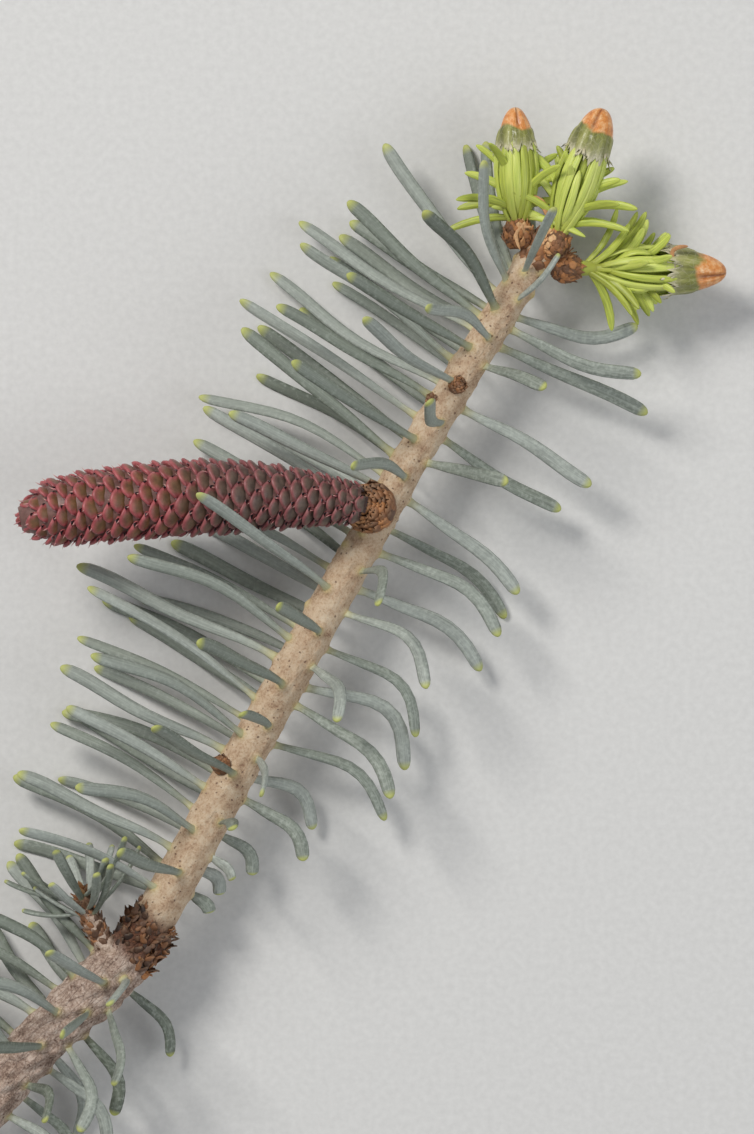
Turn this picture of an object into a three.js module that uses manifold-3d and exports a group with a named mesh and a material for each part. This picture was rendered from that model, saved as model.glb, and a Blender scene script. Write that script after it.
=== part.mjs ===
// A branch cut from a white fir in spring, lying on its lower needles.
// A bent stub of old wood carries last year's straight shoot, with flat blue-green needles all round it,
// a young purple seed cone on its upper side, and three bursting buds at its tip.
// Millimetres and degrees. +X and +Y lie in the plane that the branch lies on, and +Z is up.

import * as THREE from 'three';
import { mergeVertices } from 'three/addons/utils/BufferGeometryUtils.js';
import Module from 'manifold-3d';

const wasm = await Module();
wasm.setup();

// Driving dimensions of the whole branch.
const GAP = 0.3;                     // clear space between neighbouring pieces
const MIDDLE = [-12.6, -12.8];       // middle of the branch's box, which becomes the origin
const CUT_END = [-72.7, -98.6];      // axis of the stem at the flat cut
const STEM_HEIGHT = 11.8;            // axis of the stem above the ground; other heights are from that axis
const STEM_WALK = [                  // length and heading of each stretch, from the cut to the tip
  [24, 50],
  [20, 43.5],
  [7, 52],
  [46, 61],
  [44, 60.7],
  [38, 58.3],
  [6, 56],
];
const RING_AT = 51;                  // where last year's growth starts, along the stem
const OLD_RADIUS = 4.2;
const KNOT = { at: 39, height: 0.6, spread: 5 };
const YOUNG_RADIUS = { foot: 3.65, tip: 2.7 };
const BARK = 0.6;                    // thickness of the bark that each needle mass grows from
const STEM_SIDES = 12;

// Needles.
const DIVERGENCE = 137.5;            // turn from one needle to the next round the stem
const FIRST_TURN = 104;
const NEEDLE = { length: 34.5, oldLength: 21, width: 2.2, thickness: 1.0, root: 0.5, margin: 1.3 };
const UNDER = 125;                   // needles from this far round under the stem are combed to the left
const NEEDLE_TAPER = [0.5, 1, 1, 0.9, 0.35];
const REST = 0.6;                    // a needle's middle line comes no nearer the ground than this
const MASSES = [                     // stretch of stem, distance from needle to needle, and seed of each mass
  { name: 'needles_old_wood_lower', from: 8, to: 26, pitch: 1.2, seed: 766 },
  { name: 'needles_old_wood_upper', from: 26, to: 43.5, pitch: 1.2, seed: 450 },
  { name: 'needles_shoot_1', from: 56, to: 74, pitch: 1.4, seed: 2 },
  { name: 'needles_shoot_2', from: 74, to: 92, pitch: 1.4, seed: 340 },
  { name: 'needles_shoot_3', from: 92, to: 110, pitch: 1.4, seed: 1373 },
  { name: 'needles_shoot_4', from: 110, to: 128, pitch: 1.4, seed: 392 },
  { name: 'needles_shoot_5', from: 128, to: 146, pitch: 1.4, seed: 391 },
  { name: 'needles_shoot_6', from: 146, to: 164, pitch: 1.4, seed: 1179 },
  { name: 'needles_shoot_tip', from: 164, to: 181, pitch: 0.9, seed: 412 },
];

// Seed cone, and the cup of bud scales at its foot.
const CONE = { length: 57, headings: [174, 192], rise: 2, scales: 130, scaleSize: 3.4, sides: 10 };
const CONE_START = [-2.9, 10.6, 8.3];
const CONE_RADII = [3.9, 4.6, 5.2, 5.8, 6.2, 6.4, 6.5, 6.5, 6.4, 5.8, 3.0];
const CUP = { start: [0.9, 9.3, 3.4], end: [-2.5, 10.5, 8.1], radii: [2.4, 3.9, 4.1, 3.3] };

// Bursting buds: the heading, height and size of each, from the scaly cup at its foot to the cap.
const BUDS = [
  { name: 'left', foot: [23.7, 56.8, 1], heading: 91.5, rise: 2, bundle: 13.8, cap: 6.4, width: 8.0, seed: 21 },
  { name: 'middle', foot: [30.2, 55.0, 1.5], heading: 70.5, rise: 5, bundle: 15.4, cap: 7.2, width: 8.4, seed: 22 },
  { name: 'right', foot: [32.6, 50.3, -0.5], heading: -1.5, rise: -2, bundle: 16.6, cap: 9.2, width: 7.8, seed: 23 },
];
const BUD_CUP = { back: 3.4, front: 1.6, radius: 2.9 };
const YOUNG_NEEDLE = { length: 12, width: 1.4, thickness: 0.8, taper: [0.7, 1, 0.9, 0.4] };
const YOUNG_NEEDLES = 12;

// Small buds on last year's shoot: place along the stem, turn round it, and size.
const SIDE_BUDS = [
  { name: 'side_bud_lower', at: 80.5, turn: 48, length: 4.4, radius: 1.6 },
  { name: 'side_bud_upper', at: 155.6, turn: 92, length: 3.2, radius: 1.5 },
  { name: 'side_bud_small', at: 151.5, turn: 38, length: 2.2, radius: 0.9 },
];

// Ring of old bud scales where the years meet, and the short side spur beside it.
const COLLAR = { from: 43.8, to: 55.7, radius: 4.7, rows: 2, flakes: 7, flakeLength: 5.4 };
const SPUR = { foot: [-43.9, -66.1, 1.5], headings: [125, 108], length: 13.5, radius: 1.8, needles: 11, seed: 31 };
const SPUR_NEEDLE = { length: 13, width: 1.9, thickness: 0.9, taper: [0.6, 1, 0.9, 0.4] };

const material = (color, roughness) => new THREE.MeshStandardMaterial({ color, roughness, metalness: 0 });
const MATERIALS = {
  bark: material(0xc9b296, 0.8),
  needles: material(0x7d9080, 0.55),
  scales: material(0x77502f, 0.7),
  cone: material(0x9c4a5c, 0.6),
  young: material(0xb4cc55, 0.5),
  cap: material(0xdd8848, 0.45),
};

const radians = THREE.MathUtils.degToRad;
const smooth = THREE.MathUtils.smoothstep;
const vector = (x, y, z) => new THREE.Vector3(x, y, z);
const UP = vector(0, 0, 1);

// A small generator of repeatable numbers: spread(a) lies between -a and a.
function draws(seed) {
  let state = seed;
  return (amount) => {
    state = (Math.imul(state, 1664525) + 1013904223) >>> 0;
    return (state / 2147483648 - 1) * amount;
  };
}

// A closed skin over rings of points, each ring running the right-handed way round the direction of travel.
function loft(rings) {
  const sides = rings[0].length;
  const points = rings.flat();
  const faces = [];
  for (let ring = 0; ring < rings.length - 1; ring++) {
    for (let k = 0; k < sides; k++) {
      const a = ring * sides + k;
      const b = ring * sides + (k + 1) % sides;
      faces.push(a, b, b + sides, a, b + sides, a + sides);
    }
  }
  const last = (rings.length - 1) * sides;
  for (let k = 1; k < sides - 1; k++) {
    faces.push(0, k + 1, k);
    faces.push(last, last + k, last + k + 1);
  }
  return solid(points, faces);
}

function solid(points, faces) {
  const geometry = new THREE.BufferGeometry().setFromPoints(points);
  geometry.setIndex(faces);
  const merged = mergeVertices(geometry, 1e-4);
  return new wasm.Manifold(new wasm.Mesh({
    numProp: 3,
    vertProperties: new Float32Array(merged.attributes.position.array),
    triVerts: new Uint32Array(merged.index.array),
  }));
}

// An oval ring round a point, from its two half-axes.
function ring(centre, across, along, sides) {
  const points = [];
  for (let k = 0; k < sides; k++) {
    const angle = (k / sides) * 2 * Math.PI;
    points.push(centre.clone().addScaledVector(across, Math.cos(angle)).addScaledVector(along, Math.sin(angle)));
  }
  return points;
}

// A round limb along a row of points, with one radius for each.
function limb(points, radii, sides, start = UP) {
  return loft(points.map((point, k) => {
    const before = points[Math.max(0, k - 1)];
    const after = points[Math.min(points.length - 1, k + 1)];
    const along = after.clone().sub(before).normalize();
    const across = start.clone().cross(along).normalize();
    const third = along.clone().cross(across);
    return ring(point, across.multiplyScalar(radii[k]), third.multiplyScalar(radii[k]), sides);
  }));
}

// The stem's axis, bark radius and frame at a distance from the cut.
function axisPoint(at) {
  const point = vector(...CUT_END, 0);
  let left = at;
  for (const [length, heading] of STEM_WALK) {
    const step = Math.min(left, length);
    point.x += step * Math.cos(radians(heading));
    point.y += step * Math.sin(radians(heading));
    left -= step;
    if (left <= 0) break;
  }
  return point;
}

const STEM_LENGTH = STEM_WALK.reduce((sum, [length]) => sum + length, 0);

function stemFrame(at) {
  const reach = 4;
  const back = axisPoint(Math.max(0, at - reach));
  const ahead = axisPoint(Math.min(STEM_LENGTH, at + reach));
  const along = ahead.sub(back).normalize();
  return { along, left: UP.clone().cross(along) };
}

function barkRadius(at) {
  if (at < RING_AT) return OLD_RADIUS + KNOT.height * Math.exp(-(((at - KNOT.at) / KNOT.spread) ** 2));
  const share = (at - RING_AT) / (STEM_LENGTH - RING_AT);
  return YOUNG_RADIUS.foot + (YOUNG_RADIUS.tip - YOUNG_RADIUS.foot) * share;
}

function stemRing(at, radius) {
  const { left } = stemFrame(at);
  return ring(axisPoint(at), left.multiplyScalar(radius), UP.clone().multiplyScalar(radius), STEM_SIDES);
}

// A length of the stem's own round shape, at a given depth under the bark.
function stemPiece(from, to, depth) {
  const rings = [];
  const steps = Math.max(2, Math.ceil((to - from) / 9));
  for (let k = 0; k <= steps; k++) {
    const at = from + ((to - from) * k) / steps;
    rings.push(stemRing(at, barkRadius(at) - depth));
  }
  return loft(rings);
}

const branch = new THREE.Group();
const placed = [];
const isClear = (test, others) => others.every((other) => other.intersect(test).isEmpty());

// Adds a solid to the branch as a named mesh.
function place(name, shape, look) {
  const mesh = shape.getMesh();
  const geometry = new THREE.BufferGeometry();
  geometry.setAttribute('position', new THREE.BufferAttribute(new Float32Array(mesh.vertProperties), 3));
  geometry.setIndex(new THREE.BufferAttribute(new Uint32Array(mesh.triVerts), 1));
  geometry.computeVertexNormals();
  const piece = new THREE.Mesh(geometry, MATERIALS[look]);
  piece.name = name;
  branch.add(piece);
  placed.push(shape);
}

// The stem: whole from its flat cut to its tip, and thinner where bark with needles goes round it.
function makeStem() {
  const first = MASSES[0].from - GAP;
  const last = MASSES[MASSES.length - 1].to + GAP;
  const rings = [stemRing(0, OLD_RADIUS), stemRing(first, OLD_RADIUS)];
  const depth = BARK + GAP;
  const steps = 16;
  for (let k = 0; k <= steps; k++) {
    const at = first + ((last - first) * k) / steps;
    rings.push(stemRing(at, barkRadius(at) - depth));
  }
  rings.push(stemRing(last, barkRadius(last)));
  rings.push(stemRing(STEM_LENGTH - 1, barkRadius(last)));
  rings.push(stemRing(STEM_LENGTH, barkRadius(last) * 0.75));
  place('stem', loft(rings), 'bark');
}

// The cup of scales at the cone's foot, curving out from the stem's upper side.
function makeCup() {
  const start = vector(...CUP.start);
  const end = vector(...CUP.end);
  const bend = vector(start.x - 0.4, start.y + 0.4, end.z - 1.5);
  const curve = new THREE.QuadraticBezierCurve3(start, bend, end);
  const points = curve.getPoints(CUP.radii.length - 1);
  const side = vector(0, 1, 0);
  const cup = limb(points, CUP.radii, 10, side);
  const stem = stemPiece(MASSES[5].from, MASSES[6].to, -GAP);
  place('cone_foot', cup.subtract(stem).subtract(coneLimb(GAP + 0.5)), 'scales');
}

// The seed cone: a slim core with a spiral of rhombic scales fused to it.
function conePoint(share) {
  const [first, last] = CONE.headings;
  const point = vector(...CONE_START);
  const steps = 24;
  for (let k = 0; k < steps * share; k++) {
    const part = Math.min(1, steps * share - k);
    const heading = radians(first + ((last - first) * k) / steps);
    const stride = (part * CONE.length) / steps;
    point.add(vector(Math.cos(heading) * stride, Math.sin(heading) * stride, (part * CONE.rise) / steps));
  }
  return point;
}

function coneRadius(share) {
  const place = share * (CONE_RADII.length - 1);
  const k = Math.min(CONE_RADII.length - 2, Math.floor(place));
  return CONE_RADII[k] + (CONE_RADII[k + 1] - CONE_RADII[k]) * (place - k);
}

function coneScale(share, turn) {
  const centre = conePoint(share);
  const along = conePoint(Math.min(1, share + 0.02)).sub(conePoint(Math.max(0, share - 0.02))).normalize();
  const side = along.clone().cross(UP).normalize();
  const over = side.clone().cross(along);
  const out = side.multiplyScalar(Math.cos(turn)).addScaledVector(over, Math.sin(turn));
  const round = along.clone().cross(out);
  const radius = coneRadius(share);
  const half = CONE.scaleSize / 2;
  const at = (outward, forward, sideways) => centre.clone().addScaledVector(out, outward)
    .addScaledVector(along, forward).addScaledVector(round, sideways);
  const corners = [
    at(radius - 0.5, -half, 0),
    at(radius - 0.2, 0, half * 0.8),
    at(radius + 0.35, half, 0),
    at(radius - 0.2, 0, -half * 0.8),
  ];
  const crown = at(radius + 0.35, half * 0.2, 0);
  const root = at(radius * 0.6, 0, 0);
  return solid([...corners, crown, root], [
    0, 1, 4, 1, 2, 4, 2, 3, 4, 3, 0, 4,
    1, 0, 5, 2, 1, 5, 3, 2, 5, 0, 3, 5,
  ]);
}

function coneLimb(grow) {
  const shares = CONE_RADII.map((_, k) => k / (CONE_RADII.length - 1));
  const start = Math.max(0, grow) / CONE.length;
  const points = shares.map((share) => conePoint(share));
  points[0].add(conePoint(0).sub(conePoint(start)));
  return limb(points, CONE_RADII.map((radius) => Math.max(0.6, radius + grow)), CONE.sides);
}

function makeCone() {
  let shape = coneLimb(-0.7);
  for (let k = 0; k < CONE.scales; k++) {
    const share = 0.04 + (0.94 * (k + 0.5)) / CONE.scales;
    shape = shape.add(coneScale(share, radians(DIVERGENCE * k)));
  }
  place('seed_cone', shape, 'cone');
}

// A short needle that leaves a twig at a turn round it, splayed out and then curving forward.
function sprayNeedle(root, along, { turn, splay, length }, { width, thickness, taper }, grow = 0) {
  const side = UP.clone().cross(along).normalize();
  const over = along.clone().cross(side);
  const out = side.multiplyScalar(Math.cos(turn)).addScaledVector(over, Math.sin(turn));
  const across = along.clone().cross(out);
  const point = root.clone().addScaledVector(out, width * 0.3);
  const spans = taper.length - 1;
  const rings = taper.map((share, k) => {
    const lean = radians(splay * (1.25 - (0.5 * k) / spans));
    const ahead = along.clone().multiplyScalar(Math.cos(lean)).addScaledVector(out, Math.sin(lean));
    const thick = ahead.clone().cross(across).multiplyScalar((thickness * share) / 2 + grow);
    const section = ring(point, across.clone().multiplyScalar((width * share) / 2 + grow), thick, 4);
    point.addScaledVector(ahead, length / spans);
    return section;
  });
  return loft(rings);
}

// A bursting bud: a scaly cup, a bundle of young needles, and the cap that they push off.
function alongBud(bud, distance) {
  const rise = radians(bud.rise);
  const heading = radians(bud.heading);
  const flat = Math.cos(rise) * distance;
  return vector(...bud.foot).add(vector(flat * Math.cos(heading), flat * Math.sin(heading), Math.sin(rise) * distance));
}

function budLimb(bud, distances, radii, sides) {
  return limb(distances.map((distance) => alongBud(bud, distance)), radii, sides);
}

function makeBudCup(bud, keepOut) {
  const { back, front, radius } = BUD_CUP;
  const shape = (grow) => budLimb(
    bud,
    [-back - grow, -back * 0.5, 0, front + grow],
    [radius * 0.45, radius * 0.85, radius, radius * 0.8].map((size) => size + grow),
    10,
  );
  place(`bud_cup_${bud.name}`, shape(0).subtract(keepOut), 'scales');
  return shape(GAP);
}

function youngBundle(bud) {
  const start = BUD_CUP.front + GAP;
  const end = bud.bundle - GAP;
  const swell = [0.5, 0.75, 0.95, 1, 0.9, 0.68];
  const distances = swell.map((_, k) => start + ((end - start) * k) / (swell.length - 1));
  return budLimb(bud, distances, swell.map((size) => (size * bud.width) / 2), 12);
}

function makeYoungShoot(bud) {
  const others = BUDS.filter((other) => other !== bud).map(youngBundle).concat(placed);
  const start = BUD_CUP.front + GAP;
  const along = alongBud(bud, 1).sub(alongBud(bud, 0)).normalize();
  const spread = draws(bud.seed);
  let shape = youngBundle(bud);
  for (let k = 0; k < YOUNG_NEEDLES; k++) {
    const root = alongBud(bud, start + 1 + (k / YOUNG_NEEDLES) * bud.bundle * 0.4);
    const turn = radians(DIVERGENCE * k + spread(20));
    const pose = { turn, splay: 46 + spread(16), length: YOUNG_NEEDLE.length * (1 + spread(0.15)) };
    const test = sprayNeedle(root, along, pose, YOUNG_NEEDLE, GAP);
    if (isClear(test, others)) shape = shape.add(sprayNeedle(root, along, pose, YOUNG_NEEDLE));
  }
  place(`young_shoot_${bud.name}`, shape, 'young');
}

function makeCap(bud) {
  const { bundle, cap, width } = bud;
  const radius = width * 0.42;
  const distances = [bundle, bundle + cap * 0.3, bundle + cap * 0.65, bundle + cap * 0.9, bundle + cap];
  const radii = [1, 0.88, 0.62, 0.4, 0.15].map((size) => size * radius);
  place(`bud_cap_${bud.name}`, budLimb(bud, distances, radii, 12), 'cap');
}

// The ring of old bud scales: overlapping flakes on a short sleeve.
function makeCollar() {
  const { from, to, radius, rows, flakes, flakeLength } = COLLAR;
  const sleeve = (size) => loft([0, 0.33, 0.66, 1].map((share) => stemRing(from + (to - from) * share, size)));
  let shape = sleeve(radius);
  const spread = draws(41);
  for (let row = 0; row < rows; row++) {
    for (let k = 0; k < flakes; k++) {
      const at = from + 0.6 + row * 2.8;
      const turn = ((k + row / rows) / flakes) * 2 * Math.PI + spread(0.15);
      const { along, left } = stemFrame(at);
      const out = left.multiplyScalar(Math.cos(turn)).addScaledVector(UP, Math.sin(turn));
      const across = along.clone().cross(out).multiplyScalar(1.5);
      const foot = axisPoint(at).addScaledVector(out, radius - 0.7);
      const tip = foot.clone().addScaledVector(along, flakeLength - row * 0.8).addScaledVector(out, 1.4 + spread(0.5));
      const thick = out.clone().multiplyScalar(-0.6);
      shape = shape.add(loft([
        ring(foot, across, thick, 4),
        ring(foot.clone().lerp(tip, 0.55).addScaledVector(out, 0.25), across, thick, 4),
        ring(tip, across.clone().multiplyScalar(0.35), thick.clone().multiplyScalar(0.4), 4),
      ]));
    }
  }
  const bore = stemPiece(from - 1, to + 1, BARK);
  place('scale_ring', shape.subtract(bore), 'scales');
}

// The side spur: a short curved twig beside the ring, tipped with a bud, with its own needles.
function makeSpur() {
  const [first, last] = SPUR.headings;
  const points = [vector(...SPUR.foot)];
  const steps = 4;
  for (let k = 0; k < steps; k++) {
    const heading = radians(first + ((last - first) * k) / (steps - 1));
    const stride = vector(Math.cos(heading), Math.sin(heading), 0).multiplyScalar(SPUR.length / steps);
    points.push(points[k].clone().add(stride));
  }
  const ringReach = COLLAR.radius + 2.3;
  let shape = limb(points, [1.1, 1.05, 1, 0.85, 0.4].map((size) => size * SPUR.radius), 8)
    .subtract(stemPiece(MASSES[1].from, COLLAR.to, -GAP))
    .subtract(stemPiece(COLLAR.from - 0.5, COLLAR.to, OLD_RADIUS - ringReach));
  const spread = draws(SPUR.seed);
  for (let k = 0; k < SPUR.needles; k++) {
    const share = 0.66 + (0.24 * k) / SPUR.needles;
    const place = Math.floor(share * steps);
    const root = points[place].clone().lerp(points[place + 1], share * steps - place);
    const along = points[place + 1].clone().sub(points[place]).normalize();
    const turn = radians(DIVERGENCE * k + spread(15));
    const pose = { turn, splay: 50 + spread(18), length: SPUR_NEEDLE.length * (1 + spread(0.2)) };
    const test = sprayNeedle(root, along, pose, SPUR_NEEDLE, GAP);
    if (isClear(test, placed)) shape = shape.add(sprayNeedle(root, along, pose, SPUR_NEEDLE));
  }
  place('needles_spur', shape, 'needles');
}

function makeSideBud({ name, at, turn, length, radius }) {
  const { along, left } = stemFrame(at);
  const out = left.multiplyScalar(Math.cos(radians(turn))).addScaledVector(UP, Math.sin(radians(turn)));
  const ahead = along.clone().multiplyScalar(0.8).addScaledVector(out, 0.6);
  const foot = axisPoint(at).addScaledVector(out, barkRadius(at) - 0.2).addScaledVector(along, -length * 0.4);
  const sizes = [0.5, 0.9, 1, 0.75, 0.25];
  const points = sizes.map((_, k) => foot.clone().addScaledVector(ahead, (length * k) / (sizes.length - 1)));
  const shape = limb(points, sizes.map((size) => size * radius), 8);
  place(name, shape.subtract(stemPiece(at - 8, at + 8, -GAP)), 'scales');
}

// One needle: its middle line leaves the bark at its own turn round the stem. Needles under the stem are
// combed out sideways and those on top lean left. All bend back a little, and those on the right hook sharply.
// At the tip they stand all round and curve forward over the buds.
function needleLine(at, turn, spread, { from, to }) {
  const station = THREE.MathUtils.clamp(at + spread(0.6), from + NEEDLE.margin, to - NEEDLE.margin);
  const natural = THREE.MathUtils.euclideanModulo(turn + spread(14) + UNDER, 360) - UNDER;
  const nearTip = smooth(station, 166, 180);
  let combed = natural - 30 * (1 - nearTip) * Math.sin(radians(natural));
  if (natural < 0) combed = (natural * 25) / UNDER;
  if (natural > 180) combed = 180 + ((natural - 180) * 25) / (180 - UNDER);
  const angle = radians(combed);
  const right = smooth(-Math.cos(angle), -0.2, 0.5);
  const front = Math.max(0, Math.sin(angle));
  const nearRing = 1 - smooth(station, RING_AT + 5, RING_AT + 45);
  const bent = 1 - smooth(station, 122, 148);
  let lean = 5 + 30 * nearTip + spread(7);
  let droop = 15 * (1 - right) * (0.3 + 0.7 * bent) + 54 * right * bent + spread(11);
  droop -= nearTip * (25 + 110 * right);
  const shorter = 0.2 * front + right * (0.25 + 0.45 * nearRing) + 0.15 * nearRing + 0.3 * nearTip * (1 + 0.3 * right);
  let length = NEEDLE.length * (1 - shorter) * (1 + spread(0.1));
  if (station < RING_AT) {
    length = NEEDLE.oldLength * (1 - 0.2 * right) * (1 + spread(0.15));
    lean = -2 + spread(12);
    droop = 12 * (1 - right) + 60 * right + spread(15);
  }
  const twist = radians(spread(35));
  return { station, natural: radians(natural), angle, right, lean, droop, length, twist };
}

// The needle's blade along that line. A test blade is a gap wider and starts clear of its own bark.
function needleBlade(line, grow = 0) {
  const { along, left } = stemFrame(line.station);
  const radial = (angle) => left.clone().multiplyScalar(Math.cos(angle)).addScaledVector(UP, Math.sin(angle));
  const out = radial(line.angle);
  const rootRadius = barkRadius(line.station) - NEEDLE.root;
  const point = axisPoint(line.station).addScaledVector(radial(line.natural), rootRadius);
  const rings = [];
  const spans = NEEDLE_TAPER.length - 1;
  for (let k = 0; k <= spans; k++) {
    const share = (Math.min(k, spans - 1) + 0.5) / spans;
    const bend = share * (1 - line.right) + smooth(share, 0.4, 0.9) * line.right;
    const lean = radians(line.lean - line.droop * bend);
    const ahead = out.clone().multiplyScalar(Math.cos(lean)).addScaledVector(along, Math.sin(lean));
    const across = along.clone().addScaledVector(ahead, -along.dot(ahead)).normalize().applyAxisAngle(ahead, line.twist);
    const thick = ahead.clone().cross(across);
    const wide = (NEEDLE.width * NEEDLE_TAPER[k]) / 2 + grow;
    const deep = (NEEDLE.thickness * NEEDLE_TAPER[k]) / 2 + grow;
    const section = ring(point, across.multiplyScalar(wide), thick.multiplyScalar(deep), 4);
    rings.push(section.map((corner) => corner.setZ(Math.max(corner.z, -STEM_HEIGHT))));
    point.addScaledVector(ahead, line.length / spans);
    point.z = Math.max(point.z, REST - STEM_HEIGHT);
  }
  return loft(rings);
}

// A mass: a sleeve of bark on its own stretch of stem, with needles in a spiral fused to it.
function makeMasses() {
  const sleeves = MASSES.map(({ from, to }) => stemPiece(from + GAP / 2, to - GAP / 2, 0));
  let count = 0;
  MASSES.forEach((mass, index) => {
    const { name, from, to, pitch, seed } = mass;
    const spread = draws(seed);
    const others = placed.slice(1).concat(sleeves.filter((_, k) => k !== index));
    let shape = sleeves[index];
    const needles = Math.round((to - from) / pitch);
    for (let k = 0; k < needles; k++) {
      const line = needleLine(from + (k + 0.5) * pitch, FIRST_TURN + DIVERGENCE * count, spread, mass);
      count += 1;
      const test = needleBlade(line, GAP);
      if (isClear(test, others)) shape = shape.add(needleBlade(line));
    }
    const bore = stemPiece(from - 2, to + 2, BARK);
    place(name, shape.subtract(bore), 'needles');
  });
}

// The three bursting buds stand round the stem's tip, each cut clear of it and of the one before.
function makeBuds() {
  let keepOut = stemPiece(MASSES[MASSES.length - 1].from, STEM_LENGTH, -GAP);
  for (const bud of BUDS) {
    keepOut = keepOut.add(makeBudCup(bud, keepOut));
    makeCap(bud);
  }
  BUDS.forEach(makeYoungShoot);
}

makeStem();
makeCone();
makeCup();
makeCollar();
makeSpur();
SIDE_BUDS.forEach(makeSideBud);
makeBuds();
makeMasses();

branch.position.set(-MIDDLE[0], -MIDDLE[1], STEM_HEIGHT);
const root = new THREE.Group();
root.add(branch);

export default root;
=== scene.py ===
from math import cos, exp, pi, radians, sin, sqrt
from types import SimpleNamespace

import bpy
import numpy as np
from mathutils import Matrix


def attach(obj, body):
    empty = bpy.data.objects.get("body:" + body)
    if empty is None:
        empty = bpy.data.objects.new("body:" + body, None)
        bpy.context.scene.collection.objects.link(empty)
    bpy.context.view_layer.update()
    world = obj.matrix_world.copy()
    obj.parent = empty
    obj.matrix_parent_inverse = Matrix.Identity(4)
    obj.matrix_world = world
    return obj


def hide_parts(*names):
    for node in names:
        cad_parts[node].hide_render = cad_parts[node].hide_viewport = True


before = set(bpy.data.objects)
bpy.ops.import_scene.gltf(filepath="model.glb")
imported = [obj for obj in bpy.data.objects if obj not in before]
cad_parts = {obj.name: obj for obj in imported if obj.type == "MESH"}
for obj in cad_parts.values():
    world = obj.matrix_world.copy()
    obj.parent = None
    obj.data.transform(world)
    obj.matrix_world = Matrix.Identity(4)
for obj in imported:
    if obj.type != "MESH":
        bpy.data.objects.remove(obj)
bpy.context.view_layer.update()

# Picture
# The branch lies on a pale table, and the camera looks straight down on it from well above, so that
# lengths along the branch show true. The picture is as tall as the photograph at 5.95 pixels a millimetre.
MM = 0.001
MIDDLE = (-12.6, -12.8)
STEM_HEIGHT = 11.8
PHOTO_HEIGHT_PIXELS, PIXELS_PER_MM = 1134, 5.95
PICTURE_HEIGHT = PHOTO_HEIGHT_PIXELS / PIXELS_PER_MM
CAMERA_ABOVE, SENSOR, FURTHEST_SEEN = 1600.0, 36, 10
SOFT_LIGHTS = [
    ("key_light", (-0.7, 0.75, 1.1), 0.45, 15, (1.0, 0.98, 0.95)),
    ("fill_light", (0.9, -0.2, 0.9), 0.8, 4.5, (0.95, 0.98, 1.0)),
]
SKY_COLOUR, SKY_STRENGTH = (0.9, 0.93, 1.0, 1), 0.3
TABLE_HALF = 3


def to_frame(points):
    """Millimetres from the middle of the photograph and the stem's axis, into the frame's metres."""
    return (np.asarray(points, float) + (-MIDDLE[0], -MIDDLE[1], STEM_HEIGHT)) * MM


def put(name, data):
    """An object in the scene that holds a mesh, a light or the camera."""
    placed = bpy.data.objects.new(name, data)
    bpy.context.scene.collection.objects.link(placed)
    return placed


camera = put("camera", bpy.data.cameras.new("camera"))
camera.location = to_frame((0, 0, CAMERA_ABOVE))
camera.data.sensor_width = SENSOR
camera.data.lens = SENSOR * CAMERA_ABOVE / PICTURE_HEIGHT
camera.data.clip_end = FURTHEST_SEEN
bpy.context.scene.camera = camera
bpy.context.scene.view_settings.view_transform = "Standard"

for name, place, size, power, colour in SOFT_LIGHTS:
    lamp = put(name, bpy.data.lights.new(name, "AREA"))
    lamp.data.size = size
    lamp.data.energy = power
    lamp.data.color = colour
    lamp.location = place
    lamp.rotation_euler = (-lamp.location).to_track_quat("-Z", "Y").to_euler()

world = bpy.data.worlds.new("studio")
world.use_nodes = True
sky = world.node_tree.nodes["Background"].inputs
sky["Color"].default_value = SKY_COLOUR
sky["Strength"].default_value = SKY_STRENGTH
bpy.context.scene.world = world


def linear(red, green, blue):
    """A colour given as 0 to 255 on a screen, as the shader wants it."""
    shares = [value / 255 for value in (red, green, blue)]
    return tuple(s / 12.92 if s <= 0.04045 else ((s + 0.055) / 1.055) ** 2.4 for s in shares) + (1.0,)


def fill_inputs(tree, node, inputs):
    """Give a node's inputs, named or numbered like _0, a value or a wire from another node."""
    for key, value in inputs.items():
        socket = node.inputs[int(key[1:]) if key[1:].isdigit() else key.replace("_", " ")]
        if isinstance(value, bpy.types.NodeSocket):
            tree.links.new(value, socket)
        else:
            socket.default_value = value


def add_node(tree, kind, settings, **inputs):
    node = tree.nodes.new(kind)
    for key, value in settings.items():
        setattr(node, key, value)
    fill_inputs(tree, node, inputs)
    return node


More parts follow.
